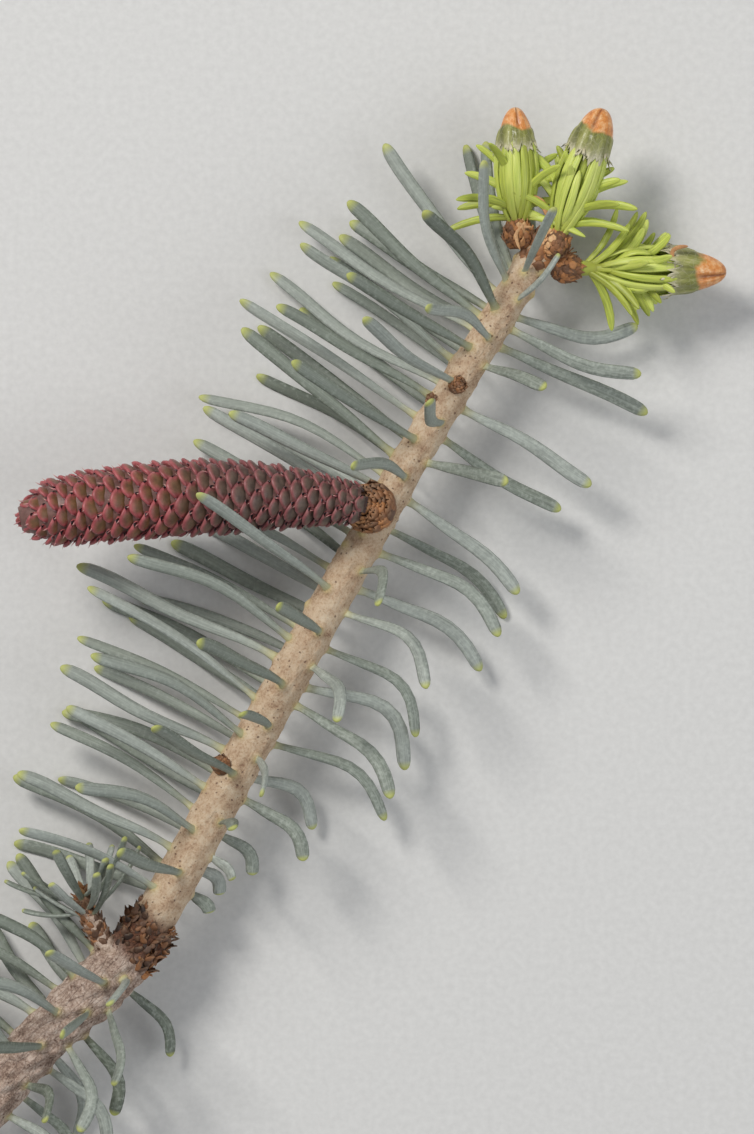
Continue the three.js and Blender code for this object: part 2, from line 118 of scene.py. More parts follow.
class Finish:
    """The look of one kind of surface: a material, and short ways to add the nodes that it takes."""

    def __init__(self, name, roughness):
        self.material = bpy.data.materials.new(name)
        self.material.use_nodes = True
        self.tree = self.material.node_tree
        self.set(Roughness=roughness)

    def set(self, **inputs):
        """Set or wire inputs of the material's shader."""
        fill_inputs(self.tree, self.tree.nodes["Principled BSDF"], inputs)

    def add(self, kind, settings, **inputs):
        """Add a node. An input given as a name is what the mesh holds at its points under that name."""
        for key, value in inputs.items():
            if isinstance(value, str):
                held = add_node(self.tree, "ShaderNodeAttribute", {"attribute_name": value})
                inputs[key] = held.outputs["Vector" if key == "Vector" else "Fac"]
        return add_node(self.tree, kind, settings, **inputs)

    def place(self):
        return self.add("ShaderNodeTexCoord", {}).outputs["Object"]

    def noise(self, scale, detail, roughness, where=None):
        return self.add("ShaderNodeTexNoise", {}, Vector=where or self.place(), Scale=scale, Detail=detail,
                        Roughness=roughness).outputs["Fac"]

    def cells(self, scale, feature, where=None):
        return self.add("ShaderNodeTexVoronoi", {"feature": feature}, Vector=where or self.place(),
                        Scale=scale).outputs

    def maths(self, operation, *terms, clamped=False):
        terms = {f"_{k}": term for k, term in enumerate(terms)}
        return self.add("ShaderNodeMath", {"operation": operation, "use_clamp": clamped}, **terms).outputs[0]

    def times(self, value, factor, plus=0.0):
        return self.maths("MULTIPLY_ADD", value, factor, plus)

    def blend(self, share, under, over, way="MIX"):
        """A second colour laid over the first by a share. The second may be given as 0 to 255."""
        over = linear(*over) if isinstance(over, tuple) else over
        mix = self.add("ShaderNodeMix", {"data_type": "RGBA", "blend_type": way}, _0=share, _6=under, _7=over)
        return mix.outputs[2]

    def steps(self, value, *steps):
        """A ramp through colours or greys, each at its own place."""
        ramp = self.add("ShaderNodeValToRGB", {}, Fac=value)
        elements = ramp.color_ramp.elements
        while len(elements) < len(steps):
            elements.new(0.5)
        for element, (at, colour) in zip(elements, steps):
            element.position = at
            element.color = linear(*(colour if isinstance(colour, tuple) else (colour, colour, colour)))
        return ramp.outputs["Color"]

    def bump(self, height, strength, distance):
        """Fine relief, too small for the mesh."""
        bump = self.add("ShaderNodeBump", {}, Height=height, Strength=strength, Distance=distance)
        self.set(Normal=bump.outputs["Normal"])


def new_mesh(name, points, faces, values):
    """A smooth mesh from points in metres, with a number or vector at each point under each name."""
    mesh = bpy.data.meshes.new(name)
    mesh.from_pydata(np.asarray(points).tolist(), [], faces)
    for key, numbers in values.items():
        numbers = np.asarray(numbers, np.float32)
        kind, field = ("FLOAT", "value") if numbers.ndim == 1 else ("FLOAT_VECTOR", "vector")
        mesh.attributes.new(key, kind, "POINT").data.foreach_set(field, numbers.ravel())
    mesh.shade_smooth()
    return mesh


paper = Finish("pale_paper", 0.9)
fibres = paper.noise(900, 3, 0.5)
paper.set(Base_Color=paper.steps(fibres, (0.3, (214, 213, 210)), (0.7, (222, 221, 218))))
floor_corners = [(x * TABLE_HALF, y * TABLE_HALF, 0) for x, y in ((-1, -1), (1, -1), (1, 1), (-1, 1))]
table = new_mesh("floor", floor_corners, [(0, 1, 2, 3)], {})
table.materials.append(paper.material)
put("floor", table)

# Stem
# Two years of twig in one piece: a knobbly grey-pink stub of old wood, cut flat, and last year's straight
# cream shoot. The bark is dotted with pores and scars, and swells into a cushion under every needle.
CUT_END = (-72.7, -98.6)
STEM_WALK = [(24, 50), (20, 43.5), (7, 52), (46, 61), (44, 60.7), (38, 58.3), (6, 56)]
STEM_LENGTH = sum(length for length, _ in STEM_WALK)
RING_AT = 51
OLD_RADIUS = 4.2
KNOT_AT, KNOT_HEIGHT, KNOT_SPREAD = 39, 0.6, 5
YOUNG_FOOT, YOUNG_TIP = 3.65, 2.7
UP = np.array((0.0, 0.0, 1.0))


class Draws:
    """Repeatable numbers: draw(a) lies between -a and a."""

    def __init__(self, seed):
        self.state = seed

    def __call__(self, amount):
        self.state = (self.state * 1664525 + 1013904223) % 4294967296
        return (self.state / 2147483648 - 1) * amount


def smooth(value, low, high):
    share = np.clip((value - low) / (high - low), 0, 1)
    return share * share * (3 - 2 * share)


def unit(vector):
    vector = np.asarray(vector, float)
    return vector / np.linalg.norm(vector, axis=-1, keepdims=True)


def between(side, over, turn):
    """The direction at a turn from one direction towards another."""
    return side * cos(turn) + over * sin(turn)


def square_to(heading, aim):
    """The direction square to a heading that is nearest to an aim."""
    return unit(aim - heading * np.sum(heading * aim, axis=-1, keepdims=True))


def towards(heading):
    """The flat direction at a heading in degrees, counted from the picture's right."""
    return np.array((cos(radians(heading)), sin(radians(heading)), 0.0))


def on_track(track, at, places=None):
    """Points at places along a track, which are shares of it where it goes in even steps."""
    places = np.linspace(0, 1, len(track)) if places is None else places
    return np.stack([np.interp(at, places, column) for column in np.transpose(track)], axis=-1)


stem_strides = [towards(heading) * length for length, heading in STEM_WALK]
stem_corners = np.cumsum([(*CUT_END, 0)] + stem_strides, axis=0)
corner_places = np.cumsum([0] + [length for length, _ in STEM_WALK])


def axis_point(at):
    """The stem's axis at a distance from the cut."""
    return on_track(stem_corners, at, corner_places)


def stem_frame(at):
    """The directions along the stem, over 4 mm to each side, and to its left, seen from above."""
    along = unit(axis_point(at + 4) - axis_point(at - 4))
    return along, np.cross(UP, along)


def bark_radius(at):
    if at < RING_AT:
        return OLD_RADIUS + KNOT_HEIGHT * exp(-(((at - KNOT_AT) / KNOT_SPREAD) ** 2))
    return YOUNG_FOOT + (YOUNG_TIP - YOUNG_FOOT) * (at - RING_AT) / (STEM_LENGTH - RING_AT)


def ring_angles(columns):
    return np.arange(columns) * 2 * pi / columns


def ring_faces(rows, columns):
    """Quads over rows of points, each row closed into a ring."""
    row, column = np.meshgrid(np.arange(rows - 1), np.arange(columns), indexing="ij")
    here = (row * columns + column).ravel()
    beside = (row * columns + (column + 1) % columns).ravel()
    return np.stack([here, beside, beside + columns, here + columns], axis=1)


def closed_faces(rows, columns):
    """The same, with a face across each end."""
    ends = [list(range(columns))[::-1], list(range((rows - 1) * columns, rows * columns))]
    return ring_faces(rows, columns).tolist() + ends


def new_piece(name, points, faces, values, finish):
    mesh = new_mesh(name, to_frame(points), faces, values)
    mesh.materials.append(finish.material)
    return put(name, mesh)


def keep(piece, replaced=None):
    """A piece of the branch, hung under the root, with the CAD node that it stands for, if any, hidden."""
    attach(piece, "root")
    if replaced:
        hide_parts(replaced)


def join_parts(parts):
    """One list of points, faces and values from many parts of the same kinds."""
    points, faces, values, first = [], [], {}, 0
    for part_points, part_faces, part_values in parts:
        points.append(part_points)
        faces.extend((np.asarray(face) + first).tolist() for face in part_faces)
        for key, numbers in part_values.items():
            values.setdefault(key, []).append(numbers)
        first += len(part_points)
    return np.concatenate(points), faces, {key: np.concatenate(lists) for key, lists in values.items()}


# The needle rule: one needle for each place along the stem, turned 137.5 degrees from the one before. Under
# the stem needles are combed out sideways, those on top lean left, and those on the right hook back. At the
# tip they stand all round and curve forward over the buds.
DIVERGENCE, FIRST_TURN = 137.5, 104
NEEDLE_LENGTH, OLD_NEEDLE_LENGTH = 34.5, 21
NEEDLE_ROOT, MARGIN = 0.5, 1.3
UNDER, COMBED_TO = 125, 25
MASSES = [
    ("needles_old_wood_lower", 8, 26, 1.2, 766),
    ("needles_old_wood_upper", 26, 43.5, 1.2, 450),
    ("needles_shoot_1", 56, 74, 1.4, 2),
    ("needles_shoot_2", 74, 92, 1.4, 340),
    ("needles_shoot_3", 92, 110, 1.4, 1373),
    ("needles_shoot_4", 110, 128, 1.4, 392),
    ("needles_shoot_5", 128, 146, 1.4, 391),
    ("needles_shoot_6", 146, 164, 1.4, 1179),
    ("needles_shoot_tip", 164, 181, 0.9, 412),
]


def needle_line(at, turn, draw, first, last):
    """Where a needle stands, which way it leaves the bark and how it bends."""
    station = min(max(at + draw(0.6), first + MARGIN), last - MARGIN)
    natural = (turn + draw(14) + UNDER) % 360 - UNDER
    near_tip = smooth(station, 166, 180)
    combed = natural - 30 * (1 - near_tip) * sin(radians(natural))
    if natural < 0:
        combed = natural * COMBED_TO / UNDER
    if natural > 180:
        combed = 180 + (natural - 180) * COMBED_TO / (180 - UNDER)
    angle = radians(combed)
    right = smooth(-cos(angle), -0.2, 0.5)
    front = max(0.0, sin(angle))
    near_ring = 1 - smooth(station, RING_AT + 5, RING_AT + 45)
    bent = 1 - smooth(station, 122, 148)
    lean = 5 + 30 * near_tip + draw(7)
    droop = 15 * (1 - right) * (0.3 + 0.7 * bent) + 54 * right * bent + draw(11)
    droop -= near_tip * (25 + 110 * right)
    shorter = 0.2 * front + right * (0.25 + 0.45 * near_ring) + 0.15 * near_ring
    shorter += 0.3 * near_tip * (1 + 0.3 * right)
    length = NEEDLE_LENGTH * (1 - shorter) * (1 + draw(0.1))
    if station < RING_AT:
        length = OLD_NEEDLE_LENGTH * (1 - 0.2 * right) * (1 + draw(0.15))
        lean = -2 + draw(12)
        droop = 12 * (1 - right) + 60 * right + draw(15)
    twist = radians(draw(35))
    return SimpleNamespace(station=station, natural=radians(natural), angle=angle, right=right,
                           lean=lean, droop=droop, length=length, twist=twist)


needle_lines = {}
needle_count = 0
for name, first, last, pitch, seed in MASSES:
    draw = Draws(seed)
    needle_lines[name] = []
    for k in range(round((last - first) / pitch)):
        turn = FIRST_TURN + DIVERGENCE * needle_count
        needle_lines[name].append(needle_line(first + (k + 0.5) * pitch, turn, draw, first, last))
        needle_count += 1

bark = Finish("fir_bark", 0.75)
blotches = bark.noise(420, 5, 0.65)
fine = bark.noise(2600, 4, 0.7)
weathered = bark.add("ShaderNodeMix", {"data_type": "FLOAT"}, _0=0.5, _2=blotches, _3=fine).outputs[0]
young = bark.steps(weathered, (0.36, (146, 114, 88)), (0.45, (186, 156, 126)), (0.54, (208, 184, 154)),
                   (0.66, (226, 210, 184)))
old = bark.steps(weathered, (0.36, (104, 82, 68)), (0.46, (156, 132, 116)), (0.55, (194, 172, 156)),
                 (0.66, (220, 206, 192)))
speckled = bark.blend(bark.steps(fine, (0.54, 0), (0.66, 150)), young, (146, 102, 80))
plates = bark.cells(0.9, "DISTANCE_TO_EDGE", "grain")["Distance"]
cracks = bark.steps(plates, (0.0, 170), (0.07, 0))
wood = bark.blend("age", speckled, bark.blend(cracks, old, (84, 64, 54)))
warped = bark.add("ShaderNodeMix", {"data_type": "VECTOR"}, _0=0.0006, _4=bark.place(),
                  _5=fine.node.outputs["Color"]).outputs[1]
pores = bark.cells(1150, "F1", warped)
lot = bark.add("ShaderNodeSeparateColor", {}, Color=pores["Color"]).outputs["Red"]
chosen = bark.maths("GREATER_THAN", lot, bark.times(blotches, -0.9, 1.18))
dot = bark.maths("LESS_THAN", pores["Distance"], 0.22)
faint = bark.times(bark.times(dot, chosen), 0.75)
dotted = bark.blend(faint, bark.blend("swelling", wood, (206, 190, 122)), (92, 60, 42))
# The bark turns dark brown in a band under the growth ring's flakes.
ring_band_brown = bark.steps(fine, (0.35, (58, 34, 24)), (0.6, (112, 68, 42)))
bark.set(Base_Color=bark.blend("crust", dotted, ring_band_brown))
rough = bark.times(bark.noise(2.2, 4, 0.6, "grain"), 1.6, fine)
hollows = bark.times(bark.times(cracks, "age"), 2.0, faint)
bark.bump(bark.maths("SUBTRACT", rough, hollows), 0.55, 0.00035)

BARK_COLUMNS, BARK_STEP = 90, 0.35
CUSHION_HEIGHT, CUSHION_LENGTH, CUSHION_WIDTH = 0.55, 0.95, 0.8
YELLOW_REACH = 0.75
SCARS, SCAR_RIM, SCAR_HOLLOW = 70, 0.16, 0.12
WRINKLES, YOUNG_WRINKLE, OLD_WRINKLE = 26, 0.009, 0.045
END_RINGS = 6
stations = np.arange(0, STEM_LENGTH + BARK_STEP / 2, BARK_STEP)
turns = ring_angles(BARK_COLUMNS)
centres, lefts = axis_point(stations), stem_frame(stations)[1]
radii = np.array([bark_radius(at) for at in stations])
radii = radii * (1 - 0.25 * smooth(stations, STEM_LENGTH - 1.5, STEM_LENGTH))
old_share = 1 - smooth(stations, RING_AT - 2, RING_AT + 2)
depth = np.repeat(radii[:, None], BARK_COLUMNS, axis=1)
grown = np.zeros_like(depth)


def hill(ahead, around, length, width):
    """A round hill on the bark, one high in its middle."""
    return np.exp(-((ahead / length) ** 2) - (around / width) ** 2)


def from_place(at, turn):
    """How far each bark point lies from a place, along the stem and round it."""
    around = (turns - turn + pi) % (2 * pi) - pi
    return (stations - at)[:, None], around[None, :] * radii[:, None]


for line in sum(needle_lines.values(), []):
    away = from_place(line.station, line.natural)
    depth += CUSHION_HEIGHT * hill(*away, CUSHION_LENGTH, CUSHION_WIDTH)
    grown = np.maximum(grown, hill(*away, YELLOW_REACH, YELLOW_REACH))

scar_draw = Draws(77)
for k in range(SCARS):
    at = 4 + (STEM_LENGTH - 12) * (0.5 + scar_draw(0.5))
    ahead, around = from_place(at, pi * (1 + scar_draw(1)))
    away = np.hypot(ahead / 1.15, around)
    depth += SCAR_RIM * np.exp(-(((away - 0.85) / 0.22) ** 2)) - SCAR_HOLLOW * np.exp(-((away / 0.6) ** 2))

wrinkle_draw = Draws(5)
for k in range(WRINKLES):
    waves = 4 + round(abs(wrinkle_draw(9)))
    slant = wrinkle_draw(1.6)
    wave = np.sin(turns[None, :] * waves + stations[:, None] * slant + wrinkle_draw(3))
    depth += wave * (YOUNG_WRINKLE + OLD_WRINKLE * old_share[:, None])

around_stem = lefts[:, None, :] * np.cos(turns)[None, :, None] + UP * np.sin(turns)[None, :, None]
bark_points = (centres[:, None, :] + around_stem * depth[:, :, None]).reshape(-1, 3)
bark_faces = ring_faces(len(stations), BARK_COLUMNS).tolist()
for row, way in ((0, 1), (len(stations) - 1, -1)):
    ring = bark_points[row * BARK_COLUMNS:(row + 1) * BARK_COLUMNS]
    middle = ring.mean(axis=0)
    first = len(bark_points)
    inner = [middle + (ring - middle) * share for share in np.linspace(1, 0.12, END_RINGS)]
    bark_points = np.concatenate([bark_points] + inner)
    bark_faces.extend(face[::way].tolist() for face in ring_faces(END_RINGS, BARK_COLUMNS) + first)
    hub = list(range(len(bark_points) - BARK_COLUMNS, len(bark_points)))
    bark_faces.append(hub[::-way])


def at_bark(numbers):
    """Numbers for the bark's rows or points, and nothing for the points of its two ends."""
    numbers = np.repeat(numbers, BARK_COLUMNS) if numbers.ndim == 1 else numbers.ravel()
    return np.pad(numbers, (0, len(bark_points) - depth.size))


grains = (depth * np.cos(turns), depth * np.sin(turns), stations * 0.22)
bark_values = {
    "age": at_bark(old_share),
    "swelling": at_bark(grown * 0.75),
    "crust": at_bark(np.exp(-(((stations - 49.5) / 4.2) ** 4))),
    "grain": np.stack([at_bark(grain) for grain in grains], axis=1),
}
keep(new_piece("stem_bark", bark_points, bark_faces, bark_values, bark), "stem")

# Growth ring
# The old bud scales of last spring, still standing in a shaggy band where the two years meet: dry, thin
# brown flakes that overlap like tiles, darker on the left and ragged on the lower right.
RING_FROM, RING_TO, RING_SLANT = 45.2, 53.8, 1.2
RING_FLAKES = 340
FLAKE_ROWS, FLAKE_COLUMNS = 6, 5

scaly = Finish("dry_bud_scale", 0.6)
veins = scaly.noise(1600, 5, 0.7)
dry = scaly.steps("tone", (0.0, (52, 38, 32)), (0.35, (104, 74, 54)), (0.6, (146, 98, 62)),
                  (0.8, (188, 126, 74)), (1.0, (224, 180, 132)))
worn = scaly.steps("edge", (0.0, 0), (0.72, 10), (1.0, 120))
scaly.set(Base_Color=scaly.blend(worn, scaly.blend(0.6, dry, veins, "OVERLAY"), (210, 176, 138)))
scaly.bump(veins, 0.5, 0.0002)


def new_shape(name, points, faces, edges):
    """A small shape round the origin, in millimetres, to be copied many times."""
    return bpy.data.objects.new(name, new_mesh(name, np.asarray(points, float) * MM, faces, {"edge": edges}))


def new_flakes(name, count, draw, width, curl, hollow, ragged, thickness=0.05):
    """Thin scales, one unit long: each lies along X, faces Z, and bends outwards towards its end. The width
    and the curl are each a middle and how far the draws go to either side of it."""
    flakes = []
    for n in range(count):
        wide, bent = (middle + draw(either_way) for middle, either_way in (width, curl))
        points, edges = [], []
        for i in range(FLAKE_ROWS):
            share = i / (FLAKE_ROWS - 1)
            half = wide / 2 * sqrt(max(0.02, 1 - share ** 2.6)) * (0.55 + 0.45 * smooth(share, 0, 0.35))
            over, under = [], []
            for j in range(FLAKE_COLUMNS):
                forward = share + ragged * draw(1) * share ** 3
                side = 1 - 2 * j / (FLAKE_COLUMNS - 1)
                height = bent * share * share - hollow * wide * side * side * (0.4 + 0.6 * share)
                over.append((forward, side * half, height + thickness / 2))
                under.append((forward, side * half, height - thickness / 2))
            points.extend(over + under[::-1])
            edges.extend([share] * (2 * FLAKE_COLUMNS))
        flakes.append(new_shape(f"{name}_{n}", points, closed_faces(FLAKE_ROWS, 2 * FLAKE_COLUMNS), edges))
    return flakes


def build_strewing():
    """Geometry nodes that set a shape on every point, turned and sized by the point's own values."""
    tree = bpy.data.node_groups.new("strewing", "GeometryNodeTree")
    sockets = {}
    for label, kind in (("Places", "Geometry"), ("Shapes", "Collection"), ("Finish", "Material"),
                        ("Wobble", "Float"), ("Seed", "Int")):
        socket = tree.interface.new_socket(label, in_out="INPUT", socket_type=f"NodeSocket{kind}")
        sockets[label] = socket.identifier
    tree.interface.new_socket("Pieces", in_out="OUTPUT", socket_type="NodeSocketGeometry")
    vectors = {"data_type": "FLOAT_VECTOR"}
    given = tree.nodes.new("NodeGroupInput").outputs
    shapes = add_node(tree, "GeometryNodeCollectionInfo", {}, Collection=given["Shapes"],
                      Separate_Children=True, Reset_Children=True)
    turn, size = (add_node(tree, "GeometryNodeInputNamedAttribute", vectors, Name=name)
                  for name in ("turn", "size"))
    chance = add_node(tree, "FunctionNodeRandomValue", vectors, _0=(-1, -1, -1), _1=(1, 1, 1),
                      Seed=given["Seed"])
    wobble = add_node(tree, "ShaderNodeVectorMath", {"operation": "SCALE"}, _0=chance.outputs[0],
                      Scale=given["Wobble"])
    turned = add_node(tree, "FunctionNodeRotateRotation", {"rotation_space": "LOCAL"},
                      Rotation=turn.outputs["Attribute"], Rotate_By=wobble.outputs[0])
    copies = add_node(tree, "GeometryNodeInstanceOnPoints", {}, Points=given["Places"], Pick_Instance=True,
                      Instance=shapes.outputs[0], Rotation=turned.outputs[0], Scale=size.outputs["Attribute"])
    real = add_node(tree, "GeometryNodeRealizeInstances", {}, _0=copies.outputs[0])
    finish = add_node(tree, "GeometryNodeSetMaterial", {}, Geometry=real.outputs[0], Material=given["Finish"])
    add_node(tree, "NodeGroupOutput", {}, _0=finish.outputs[0])
    return tree, sockets


strewing, strewing_inputs = build_strewing()


def strew(name, shapes, spots, finish, wobble, seed):
    """One piece of many small copies, each with its X along its own direction and its Z outwards."""
    places, aheads, outs, sizes, tones = zip(*spots)
    turns = []
    for ahead, out in zip(aheads, outs):
        x_axis = unit(ahead)
        z_axis = square_to(x_axis, out)
        turns.append(Matrix((x_axis, np.cross(z_axis, x_axis), z_axis)).transposed().to_euler())
    sizes = [np.broadcast_to(size, 3) for size in sizes]
    carrier = put(name, new_mesh(name, to_frame(places), [], dict(turn=turns, size=sizes, tone=tones)))
    folder = bpy.data.collections.new(name + "_shapes")
    for shape in shapes:
        folder.objects.link(shape)
    modifier = carrier.modifiers.new("strewing", "NODES")
    modifier.node_group = strewing
    modifier[strewing_inputs["Shapes"]] = folder
    modifier[strewing_inputs["Finish"]] = finish.material
    modifier[strewing_inputs["Wobble"]] = radians(wobble)
    modifier[strewing_inputs["Seed"]] = seed
    evaluated = carrier.evaluated_get(bpy.context.evaluated_depsgraph_get())
    mesh = bpy.data.meshes.new_from_object(evaluated)
    carrier.modifiers.clear()
    carrier.data = mesh
    bpy.data.collections.remove(folder)
    return carrier


def spiral(count, draw, scatter):
    """How far along each place in a spiral is, and its turn, in the order in which they grow."""
    for k in range(count):
        yield (k + 0.5) / count, radians(DIVERGENCE * k + draw(scatter))


flakes = new_flakes("flake", 6, Draws(9), width=(0.95, 0.2), curl=(0.04, 0.18), hollow=0.2, ragged=0.24)
ring_draw = Draws(41)
spots = []
for share, turn in spiral(RING_FLAKES, ring_draw, 12):
    at = RING_FROM + (RING_TO - RING_FROM) * share + RING_SLANT * cos(turn)
    along_stem, left = stem_frame(at)
    out = between(left, UP, turn)
    shaggy = 0.5 + 0.5 * cos(turn - pi) * (1 - share)
    lift = 0.2 * shaggy * shaggy + ring_draw(0.3)
    heap = (0.3 + 0.9 * shaggy) * abs(ring_draw(1)) * (1 - abs(2 * share - 1))
    size = 1.15 + 0.35 * shaggy + ring_draw(0.45)
    spots.append((axis_point(at) + out * (bark_radius(at) - 0.2 + heap), along_stem + out * lift, out,
                  (size, size * (1.1 + ring_draw(0.3)), size * 1.2),
                  0.22 + 0.34 * shaggy * shaggy + ring_draw(0.3)))
keep(strew("growth_ring", flakes, spots, scaly, wobble=46, seed=3), "scale_ring")

# Seed cone
# A young cone, soft and purple-red. Its scales stand in spirals round a core, each a rounded shingle with
# a thick pink lip towards the cone's tip, and a thin pointed bract under it. The backs of the scales are
# grey near the foot and olive-brown further out.
CONE_START = np.array((-2.9, 10.6, 8.3))
CONE_LENGTH, CONE_RISE, CONE_HEADINGS, CONE_STEPS = 57, 2, (174, 191.25), 24
CONE_RADII = [3.9, 4.6, 5.2, 5.8, 6.2, 6.4, 6.5, 6.5, 6.4, 5.8, 3.0]
CONE_SCALES = 250
SCALE_ROWS, SCALE_HALF = 9, 2.2

velvet = Finish("young_cone", 0.45)
bloom, fuzz = velvet.noise(700, 4, 0.6), velvet.noise(3200, 3, 0.6)
backs, pinks = ([velvet.steps(bloom, (0.3, dark), (0.7, light)) for dark, light in colours] for colours in (
    (((70, 60, 50), (112, 98, 84)), ((82, 68, 34), (118, 92, 50))),
    (((122, 60, 64), (162, 96, 96)), ((142, 58, 66), (188, 96, 100)))))
soft_edge = velvet.times("tone", 0.2, velvet.times(fuzz, 0.3, "edge"))
lip = velvet.steps(soft_edge, (0.12, 20), (0.4, 105), (0.7, 200), (1.0, 245))
lipped = velvet.blend(lip, velvet.blend("tone", *backs), velvet.blend("tone", *pinks))
# Painted shade: where the edge mark falls below zero, at the scales' roots and undersides, the colour darkens
# towards deep purple-brown, as shade in the recesses between scales.
painted_recess_shade = velvet.steps(velvet.maths("ADD", "edge", 0.5), (0.1, 225), (0.3, 130), (0.5, 0))
velvet.set(Base_Color=velvet.blend(painted_recess_shade, lipped, (46, 18, 24)), Sheen_Weight=0.15, Sheen_Roughness=0.4,
           Sheen_Tint=(1.0, 0.75, 0.8, 1))
velvet.bump(fuzz, 0.3, 0.0001)


def curving_line(start, headings, length, rise, steps):
    """Points in even steps along a line that turns evenly from its first heading to its last."""
    strides = [(towards(heading) * length + UP * rise) / steps for heading in np.linspace(*headings, steps)]
    return np.cumsum([start] + strides, axis=0)


cone_line = curving_line(CONE_START, CONE_HEADINGS, CONE_LENGTH, CONE_RISE, CONE_STEPS)


def cone_radius(share):
    return np.interp(share, np.linspace(0, 1, len(CONE_RADII)), CONE_RADII)


def new_cone_scale(name, draw):
    """One cone scale round the origin, about a millimetre to a unit: X to the cone's tip and Z outwards."""
    points, edges = [], []
    for i in range(SCALE_ROWS):
        side = 1 - 2 * i / (SCALE_ROWS - 1)
        crown = sqrt(1 - 0.96 * side * side)
        front = 1.75 - 1.5 * side * side + draw(0.06)
        # Each point: how far forward, how far out, and its mark. Marks below zero, at the root and the
        # underside, paint shade into the recesses between scales; the higher marks make the pink lip.
        section = [
            (-1.0, -0.8, -0.6), (front - 0.25, -0.1 + 0.6 * crown, 0.5),
            (front + 0.07, 0.02 + 0.96 * crown, 1.0), (front - 0.05, 0.08 + 1.16 * crown, 0.85),
            (front - 0.45, 0.12 + 1.2 * crown, 0.4), (0.5, 0.1 + 1.1 * crown, 0.08),
            (-0.3, 0.05 + 0.8 * crown, 0.0), (-1.3, 0.4 * crown, -0.35), (-2.4, -0.7, -0.6),
        ]
        for forward, outward, mark in section:
            points.append((forward, SCALE_HALF * side, outward))
            edges.append(mark if mark < 0 else max(mark, 0.85 * smooth(abs(side), 0.3, 0.9)))
    return new_shape(name, points, closed_faces(SCALE_ROWS, len(section)), edges)


cone_draw = Draws(12)
cone_scales = [new_cone_scale(f"cone_scale_{k}", cone_draw) for k in range(4)]
spots, bract_spots = [], []
for k in range(CONE_SCALES):
    share = 0.99 * (k + 0.5) / CONE_SCALES
    middle = on_track(cone_line, share)
    along_cone = unit(on_track(cone_line, share + 0.02) - on_track(cone_line, share - 0.02))
    over = square_to(along_cone, UP)
    out = between(over, np.cross(over, along_cone), radians(DIVERGENCE * k))
    radius = cone_radius(share)
    narrowing = smooth(share, 0.88, 1.0)
    near_foot = 1 - smooth(share, 0.0, 0.16)
    size = (0.62 + 0.38 * radius / 6.5) * (1.04 - 0.12 * smooth(share, 0.45, 0.8)) * (1 + cone_draw(0.09))
    size *= 1 - 0.34 * near_foot
    lift = 0.3 + 0.14 * (1 - smooth(share, 0.4, 0.6)) - 0.75 * narrowing + cone_draw(0.08)
    radius *= 1 - 0.5 * smooth(share, 0.955, 0.99)
    spots.append((middle + out * (radius - 1.45 + 0.3 * near_foot), along_cone + out * lift, out,
                  (size, size * (1 - 0.2 * narrowing), size), smooth(share, 0.35, 0.65)))
    ahead = along_cone * 0.75 + out * (0.6 - 0.6 * narrowing + cone_draw(0.25))
    size = (1.0 + 0.4 * smooth(share, 0.3, 0.7) + cone_draw(0.3)) * (1 - 0.35 * narrowing)
    bract_spots.append((middle + out * (radius - 0.7 - 0.2 * narrowing) + along_cone, ahead, out, size, 0.5))
keep(strew("cone_scales", cone_scales, spots, velvet, wobble=7, seed=7), "seed_cone")


def rings_along(points, sides, overs, across, up):
    """Rings of points round a line, each so far across and so far up from its middle."""
    return points[:, None, :] + sides[:, None, :] * across[:, :, None] + overs[:, None, :] * up[:, :, None]


def limb_part(points, radii, columns, **values):
    """A closed round limb along points, from a radius for each ring or for each point of each ring."""
    headings = unit(np.gradient(points, axis=0))
    sides = unit(np.cross(np.array((0.02, 0.01, 1.0)), headings))
    radii = np.broadcast_to(np.asarray(radii, float).reshape(len(points), -1), (len(points), columns))
    angles = ring_angles(columns)
    across, up = radii * np.cos(angles), radii * np.sin(angles)
    rings = rings_along(points, sides, np.cross(headings, sides), across, up)
    values = {key: np.repeat(np.broadcast_to(numbers, len(points)), columns)
              for key, numbers in values.items()}
    return rings.reshape(-1, 3), closed_faces(len(points), columns), values


# What the needles of the stem keep clear of: the middles and radii of the cone, its foot and the buds.
shares = np.linspace(0, 1, 21)
limbs = list(zip(on_track(cone_line, shares), cone_radius(shares)))
shares = np.linspace(0, 1, 40)
core_radii = np.maximum(0.3, cone_radius(shares) - 1.0)
core = limb_part(on_track(cone_line, shares), core_radii, columns=24, edge=0.4, tone=0.0)
keep(new_piece("cone_core", *core, velvet))

faded = Finish("bract_tip", 0.6)
faded.set(Base_Color=faded.steps("edge", (0.0, (150, 62, 78)), (0.6, (196, 128, 130)),
                                 (1.0, (206, 178, 160))))
bract = new_shape(
    "bract",
    [(-0.5, 0.22, 0), (-0.5, 0, 0.1), (-0.5, -0.22, 0), (-0.5, 0, -0.1),
     (0.45, 0.13, 0.05), (0.45, 0, 0.12), (0.45, -0.13, 0.05), (0.45, 0, -0.02), (1.0, 0, 0.18)],
    [(3, 2, 1, 0)] + [(k, (k + 1) % 4, (k + 1) % 4 + 4, k + 4) for k in range(4)]
    + [(k + 4, (k + 1) % 4 + 4, 8) for k in range(4)],
    [0] * 4 + [0.6] * 4 + [1],
)
keep(strew("cone_bracts", [bract], bract_spots, faded, wobble=14, seed=5))

